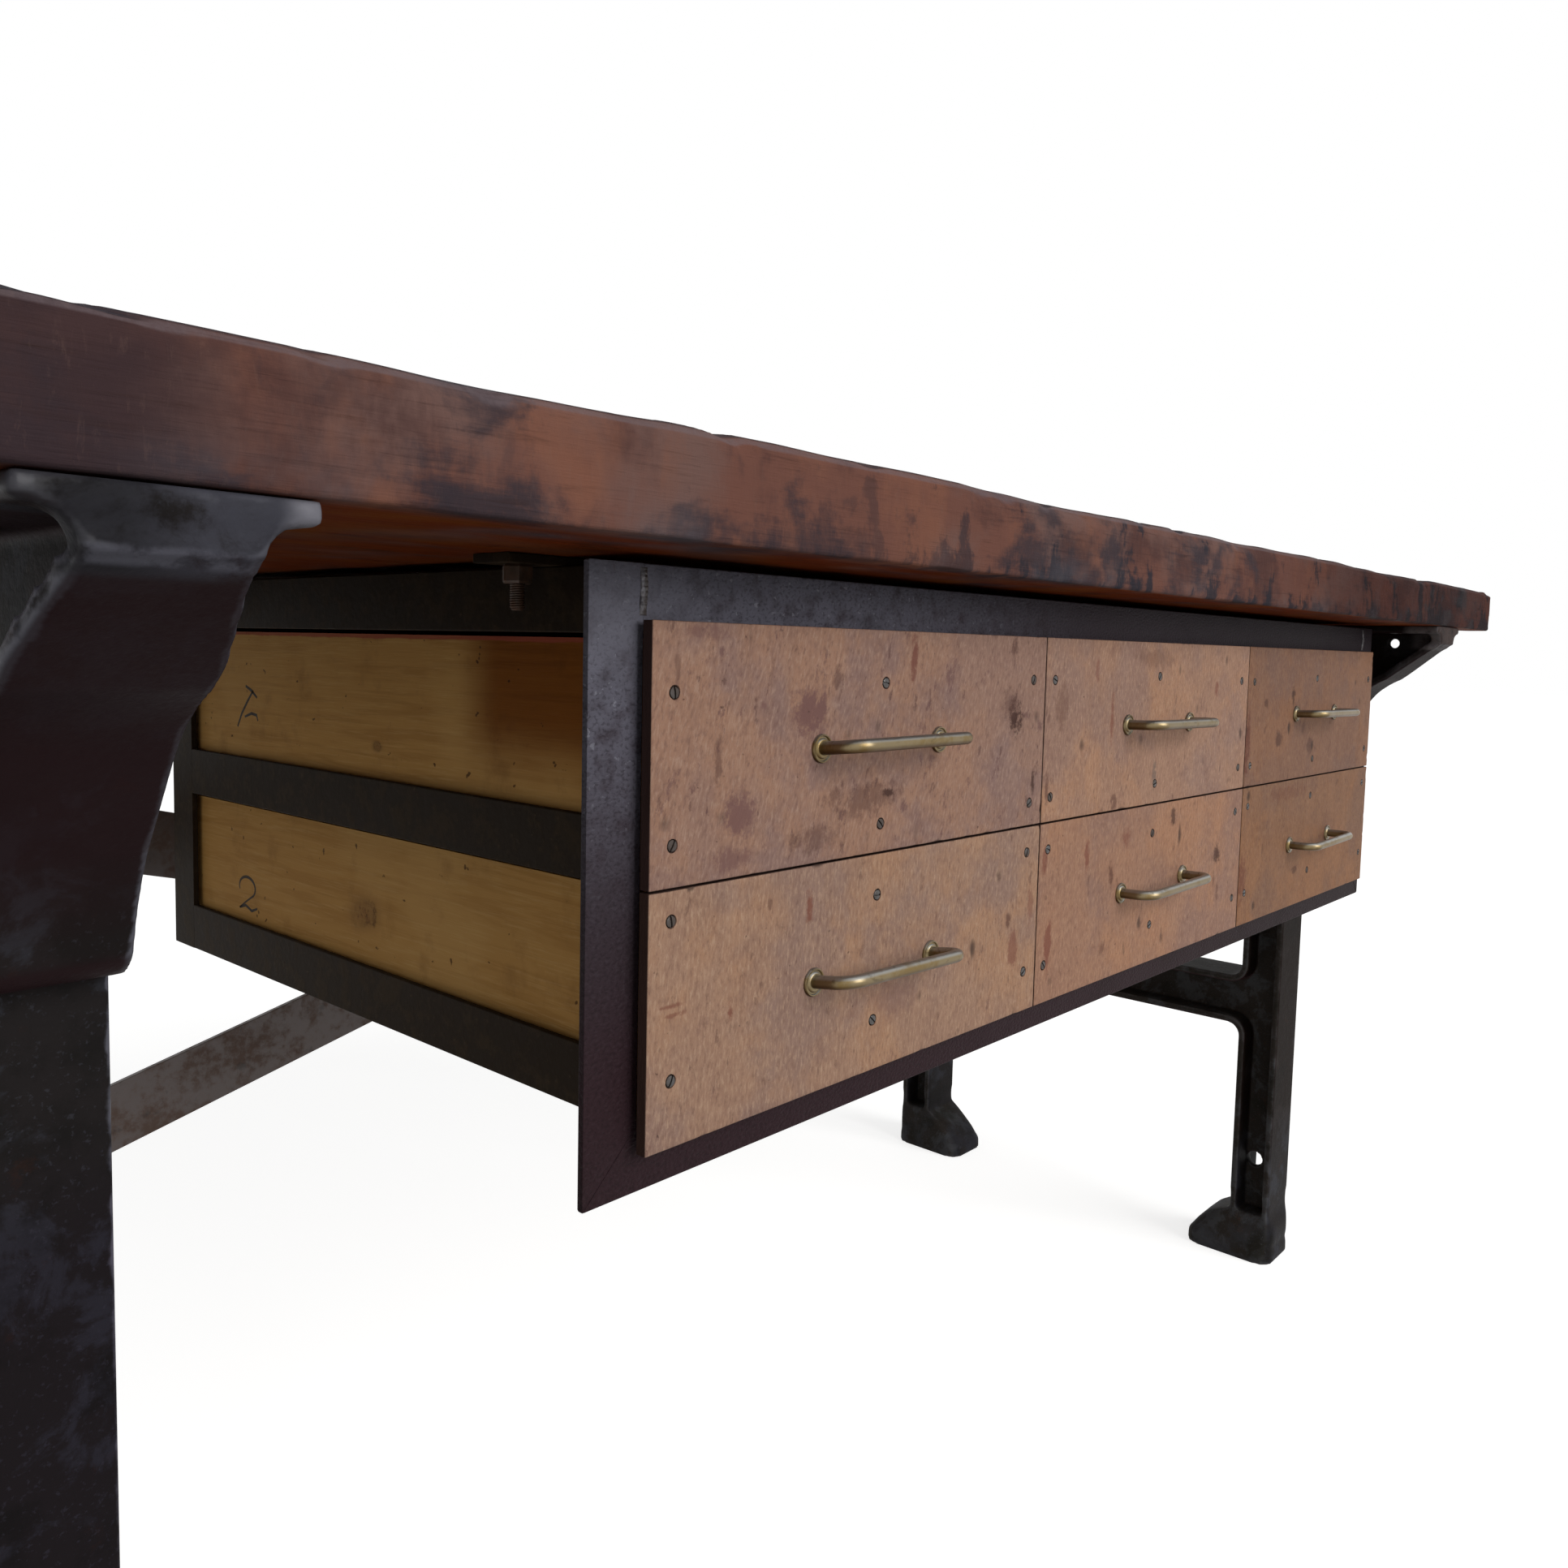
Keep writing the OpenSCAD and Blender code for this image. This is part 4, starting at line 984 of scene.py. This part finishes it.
def scraped_paint(name, seed, low, high, stains, tone_and_shade):
    paint, place, coat, feed = new_paint(name, (0.262, 0.154, 0.104))
    spot = place.moved(seed * 2.7, 0, seed * 1.3)
    lean = -0.24 if seed == 1 else -0.05 - 0.04 * (seed % 3)
    slanted = spot.node("VectorRotate", {"rotation_type": "Y_AXIS"}, {0: spot, 3: lean})
    grain = spot.stretched(30, 30, 3).grain(4, 6, 0.6, 0.5)
    fibres = slanted.stretched(190, 190, 30).grain(4, 4, 0.65)
    wool = slanted.moved(5, 0, 2).stretched(1, 1, 0.42).grain(430, 4, 0.62)
    strokes = slanted.moved(2, 0, 5).stretched(60, 60, 22).grain(7, 5, 0.7, 0.3)
    cloud = spot.grain(7, 6, 0.62, 0.5)
    mottle = slanted.stretched(1, 1, 0.7).grain(38, 7, 0.7, 0.4)
    flecks = slanted.moved(1, 0, 6).stretched(1, 1, 0.42).grain(140, 6, 0.7)
    flakes = slanted.moved(3, 0, 8).stretched(1, 1, 0.6).grain(150, 5, 0.72)
    pits = spot.grain(240, 3, 0.6)
    ragged = spot.grain(60, 8, 0.78)
    coat((0.312, 0.172, 0.1), cloud.mask(0.44, 0.58) * 0.8)
    coat((0.205, 0.13, 0.106), spot.moved(7, 0, 3).grain(9, 7, 0.64).mask(0.47, 0.6) * 0.75)
    coat((0.178, 0.1, 0.074), mottle.mask(0.5, 0.66) * 0.34)
    coat((0.37, 0.232, 0.15), (1 - mottle.mask(0.34, 0.48)) * 0.24)
    coat((0.195, 0.11, 0.074), grain.mask(0.5, 0.7) * 0.26)
    coat((0.4, 0.268, 0.18), strokes.mask(0.54, 0.68) * 0.16)
    coat((0.165, 0.09, 0.066), (1 - strokes.mask(0.34, 0.46)) * 0.34)
    coat((0.42, 0.282, 0.19), fibres.mask(0.51, 0.64) * 0.31)
    coat((0.15, 0.08, 0.056), (1 - wool.mask(0.34, 0.48)) * 0.46)
    coat((0.42, 0.29, 0.2), wool.mask(0.53, 0.66) * 0.34)
    coat((0.11, 0.052, 0.04), flecks.mask(0.6, 0.67) * (0.62 if seed == 1 else 0.44))
    nicks = slanted.moved(8, 0, 1).stretched(1, 1, 0.55).grain(62, 7, 0.76)
    coat((0.135, 0.068, 0.055), nicks.mask(0.59, 0.65) * (0.68 if seed == 1 else 0.32))
    wide = high[0] - low[0]
    tall = high[2] - low[2]
    for across, up, size_x, size_z, strength, tone in stains:
        away = place.moved(-(low[0] + across / 1000 * wide), 0, -(low[2] + up / 1000 * tall))
        away = away.stretched(1000 / size_x, 0, 1000 / size_z).away()
        share = 1 - (away + (ragged - 0.5) * 3.0).mask(0.45, 1.0)
        share = share * (flakes + 0.17 - away * 0.12).mask(0.44, 0.6)
        coat(STAIN_TONES[tone], share * min(1.0, strength * 1.05))
    coat((0.05, 0.024, 0.018), pits.mask(0.69, 0.75) * 0.6)
    # Darker where the face lies sunk behind the board: the screw recesses, dents and chips.
    sunk = (place.part("Y") - low[1] - 0.00022).mask(0.0, 0.00045)
    coat((0.04, 0.023, 0.017), sunk * 0.85)
    frontward = (0 - place.facing("Y")).mask(0.55, 0.93)
    coat((0.034, 0.017, 0.013), 1 - frontward)
    # The board's own tone, and on the right column a painted shade.
    coat(tone_and_shade, 1.0, "MULTIPLY")
    feed(Roughness=0.56 + grain * 0.16, Specular_IOR_Level=0.13)
    scars = pits.mask(0.66, 0.78) + flecks.mask(0.6, 0.72) * 0.6
    feed(Normal=bumped(fibres * 0.6 + strokes * 0.8 + mottle * 0.5 - scars, 0.0007, 0.75))
    return paint


# Each stain: its place across and up its board in thousandths, its half sizes in mm, its
# strength and its tone.
STAINS = {
    "left_upper": (
        (315, 640, 21, 17, 0.9, "purple"), (165, 235, 18, 17, 0.85, "purple"),
        (150, 80, 22, 10, 0.7, "purple"), (455, 250, 42, 13, 0.6, "brown"),
        (340, 110, 30, 10, 0.55, "brown"), (893, 590, 12, 17, 1.25, "dark"),
        (880, 640, 16, 14, 0.5, "brown"), (575, 880, 4.5, 17, 0.8, "red"), (883, 940, 6, 9, 0.8, "brown"),
        (966, 220, 4.5, 12, 0.85, "dark"), (380, 770, 6, 13, 0.6, "brown"),
        (125, 460, 4.5, 16, 0.55, "brown"), (90, 965, 22, 6, 0.6, "purple"),
        (213, 677, 4, 4, 0.7, "purple"), (514, 268, 7, 3.5, 0.85, "dark"), (45, 840, 3, 18, 0.45, "brown"),
    ),
    "left_lower": (
        (324, 822, 5, 14, 0.8, "red"), (916, 367, 7, 22, 0.65, "red"), (897, 518, 5, 8, 0.85, "brown"),
        (37, 557, 12, 2, 0.7, "red"), (45, 520, 10, 1.6, 0.6, "red"), (157, 466, 3.5, 7, 0.75, "red"),
        (236, 869, 3, 5, 0.6, "brown"), (974, 571, 5, 24, 0.5, "red"), (550, 300, 30, 18, 0.35, "purple"),
    ),
    "middle_upper": (
        (275, 560, 4, 26, 0.6, "red"), (300, 50, 6, 9, 0.75, "brown"), (484, 190, 5, 16, 0.6, "grey"),
        (65, 630, 14, 24, 0.45, "brown"), (804, 696, 4, 9, 0.7, "red"), (16, 196, 4, 16, 0.75, "brown"),
        (470, 900, 50, 9, 0.4, "brown"), (203, 839, 4, 12, 0.5, "red"),
    ),
    "middle_lower": (
        (190, 763, 4.5, 17, 0.7, "red"), (299, 632, 5.5, 11, 0.85, "brown"),
        (855, 575, 11, 13, 0.85, "dark"), (595, 906, 6, 10, 0.75, "dark"), (366, 825, 9, 10, 0.55, "red"),
        (20, 800, 4, 18, 0.6, "red"), (45, 330, 7, 22, 0.75, "red"), (866, 325, 4, 17, 0.6, "brown"),
        (271, 182, 8, 10, 0.55, "brown"), (842, 423, 4, 12, 0.6, "brown"),
    ),
    "right_upper": (
        (10, 300, 9, 36, 0.8, "red"), (231, 324, 12, 10, 0.8, "brown"), (469, 248, 12, 14, 0.7, "brown"),
        (126, 594, 7, 6, 0.75, "brown"), (322, 633, 7, 14, 0.8, "dark"), (411, 380, 10, 10, 0.45, "brown"),
    ),
    "right_lower": (
        (20, 330, 12, 30, 0.7, "red"), (397, 280, 9, 5, 0.75, "brown"), (300, 900, 60, 10, 0.35, "red"),
        (650, 500, 30, 30, 0.3, "purple"),
    ),
}
# Multiplied into each board's colour: small differences of tone between boards, and on the right column a
# painted shade where the light falls off.
TONES_AND_SHADE = {
    "left_upper": (0.86, 0.85, 0.94), "left_lower": (1.0, 1.0, 1.0), "middle_upper": (1.04, 1.0, 0.99),
    "middle_lower": (0.99, 0.9, 0.86), "right_upper": (0.63, 0.54, 0.49), "right_lower": (0.68, 0.57, 0.46),
}
# The screws' places across and up each board, in mm.
SCREW_PLACES = {
    "left_upper": ((15.5, 22), (15.5, 99.8), (189.8, 17.6), (191.5, 103.8), (366.5, 16.5), (366.5, 105.2)),
    "left_lower": ((17, 36), (15.5, 120), (187.5, 32), (188.5, 110.5), (367, 29.5), (366, 117.5)),
    "middle_upper": ((12, 18.5), (13, 105), (188, 17), (189, 107.5), (368, 20.5), (367, 103)),
    "middle_lower": ((11.5, 29), (12, 116.4), (190, 32.4), (188, 111.6), (369, 31), (367, 115)),
    "right_upper": ((14, 20.5), (15, 102), (190, 18.5), (192.5, 105), (368, 21.5), (369, 103.5)),
    "right_lower": ((16, 31.5), (14, 117.5), (193, 33.5), (190.5, 115.5), (369.5, 34), (367.5, 118)),
}
dull_screw = old_steel("dull_screw", (0.062, 0.058, 0.056), (0.034, 0.022, 0.016), 0.7, 0.4, 0.0002)
for n, key in enumerate(DRAWERS):
    column, row = divmod(n, 2)
    drawer = "drawer_" + key
    seed = 1 + column + 3 * row
    low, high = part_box(drawer + "_front")
    screw_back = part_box(drawer + "_screws")[1][1]
    screws = [(low[0] + x / 1000, low[2] + z / 1000) for x, z in SCREW_PLACES[key]]
    board = scraped_board("scraped_" + drawer, seed, low, high, screws)
    give(board, scraped_paint("scraped_front_" + key, seed, low, high, STAINS[key], TONES_AND_SHADE[key]))
    heads = slotted_screws("screws_" + drawer, seed, low[1], screw_back, screws)
    give(heads, dull_screw)
    for piece in (board, heads):
        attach(piece, drawer)
    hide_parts(drawer + "_front")
    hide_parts(drawer + "_screws")


# Handles. Round brass rod, bent at both ends, standing in two turned rosettes and held from
# inside by hex nuts; the lacquer is gone and the brass is tarnished brown and green-grey. A grey
# reflection on their upper side and a brown shade underneath are painted.
ROD_R = 0.004
ROD_BACK = 0.0005
BEND_R = 0.012
STUD_R = 0.002
STUD_NUT_R = 0.0045
STUD_NUT_DEPTH = 0.003
ROSETTE_R = 0.0085
# The rosette's turned outline: radius and height from the board.
ROSETTE = (
    (ROD_R * 0.9, 0.0022), (0.005, 0.0024), (0.0056, 0.0021), (0.0062, 0.0011), (0.007, 0.001),
    (0.0075, 0.0017), (0.0081, 0.0018), (ROSETTE_R, 0.0011), (ROSETTE_R, 0.0), (ROD_R * 0.9, 0.0),
)


def brass_handle(name, middle, reach, span, rise):
    """A handle about the middle of its feet; its rod stands higher than they do by the rise."""
    work = bmesh.new()
    left = -span / 2
    bend_x = left + BEND_R
    path = [(left, ROD_BACK), (left, 0.0), (left, -(reach - BEND_R) / 2)]
    for i in range(11):
        turn = math.radians(180 + 90 * i / 10)
        path.append((bend_x + BEND_R * math.cos(turn), -reach + BEND_R + BEND_R * math.sin(turn)))
    path += [(bend_x - bend_x * i / 6, -reach) for i in range(1, 6)] + [(0.0, -reach)]
    path += [(-x, y) for x, y in path[-2::-1]]
    rings = []
    for i, (x, y) in enumerate(path):
        before = Vector(path[max(0, i - 1)])
        after = Vector(path[min(len(path) - 1, i + 1)])
        along = (after - before).normalized()
        ring = []
        for turn in turns(28):
            out = ROD_R * math.cos(turn)
            lift = rise * max(0.0, -y) / reach
            ring.append(work.verts.new((middle[0] + x - along[1] * out, middle[1] + y + along[0] * out,
                                        middle[2] + lift + ROD_R * math.sin(turn))))
        rings.append(ring)
    skin_over(work, rings)
    for foot_x in (middle[0] - span / 2, middle[0] + span / 2):
        turned = [[
            work.verts.new((foot_x + r * math.cos(turn), middle[1] - h, middle[2] + r * math.sin(turn)))
            for r, h in ROSETTE
        ] for turn in turns(40)]
        for a, b in zip(turned, turned[1:] + turned[:1]):
            for m in range(len(ROSETTE)):
                n = (m + 1) % len(ROSETTE)
                work.faces.new((a[m], a[n], b[n], b[m]))
    bmesh.ops.recalc_face_normals(work, faces=work.faces)
    handle = finished(work, name)
    handle.data.shade_smooth()
    handle.data.set_sharp_from_angle(angle=math.radians(38))
    return handle


def stud_nuts(name, middle, span, stud_y, end_y):
    """The studs behind the handle's feet with their hex nuts, seen inside the drawer."""
    work = bmesh.new()
    shapes = ((24, STUD_R, stud_y, 0.0004), (6, STUD_NUT_R, end_y - STUD_NUT_DEPTH, 0.0005))
    for foot_x in (middle[0] - span / 2, middle[0] + span / 2):
        for sides, size, start_y, ease in shapes:
            skin_over(work, [[
                work.verts.new((foot_x + r * math.cos(turn), y, middle[2] + r * math.sin(turn)))
                for turn in turns(sides)
            ] for y, r in ((start_y, size), (end_y - ease, size), (end_y, size - ease))])
    bmesh.ops.recalc_face_normals(work, faces=work.faces)
    return finished(work, name)


def tarnished_brass():
    paint, place, coat, feed = new_paint("tarnished_brass", (0.205, 0.158, 0.088))
    film = place.grain(60, 6, 0.65, 0.5)
    rub = place.stretched(1, 2, 2).grain(140, 5, 0.6)
    up = place.facing("Z")
    coat((0.165, 0.108, 0.036), film.mask(0.46, 0.64) * 0.75)
    # A painted grey reflection on the rod's upper side and a painted brown shade on its underside.
    coat((0.31, 0.305, 0.285), up.mask(0.3, 0.75) * (1 - film.mask(0.5, 0.7) * 0.5))
    coat((0.066, 0.036, 0.012), (0 - up).mask(0.05, 0.7) * 0.85)
    coat((0.066, 0.05, 0.028), rub.mask(0.58, 0.7) * 0.5)
    feed(Metallic=1.0, Roughness=0.26 + film * 0.2 + rub * 0.08)
    feed(Normal=bumped(rub + film * 0.5, 0.0002, 0.5))
    return paint


# How each handle hangs: its lean in degrees, its rod's rise, and its shift to the right and up.
HANDLE_HANG = {
    "left_upper": (-0.3, 0.003, -0.0015, -0.0012), "left_lower": (1.5, 0.0042, -0.0035, -0.0024),
    "middle_upper": (0.4, 0.001, 0.0, 0.0), "middle_lower": (-0.5, 0.001, 0.0, 0.0),
    "right_upper": (0.3, 0.001, 0.0, 0.0), "right_lower": (-0.8, 0.0005, 0.0, 0.0),
}
brass = tarnished_brass()
for key in DRAWERS:
    drawer = "drawer_" + key
    low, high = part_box(drawer + "_handle")
    face_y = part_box(drawer + "_front")[0][1]
    span = high[0] - low[0] - 2 * ROSETTE_R
    middle = ((low[0] + high[0]) / 2, face_y, (low[2] + high[2]) / 2)
    turn, rise, aside, above = HANDLE_HANG[key]
    lean = Matrix.Rotation(math.radians(turn), 3, "Y")
    handle = brass_handle("brass_" + drawer, middle, face_y - low[1] - ROD_R, span, rise)
    nuts = stud_nuts("nuts_" + drawer, middle, span, face_y + 0.001, high[1])
    for piece in (handle, nuts):
        for vert in piece.data.vertices:
            vert.co = Vector(middle) + lean @ (vert.co - Vector(middle)) + Vector((aside, 0, above))
    give(handle, brass)
    give(nuts, dull_screw)
    for piece in (handle, nuts):
        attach(piece, drawer)
    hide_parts(drawer + "_handle")

bpy.context.view_layer.update()
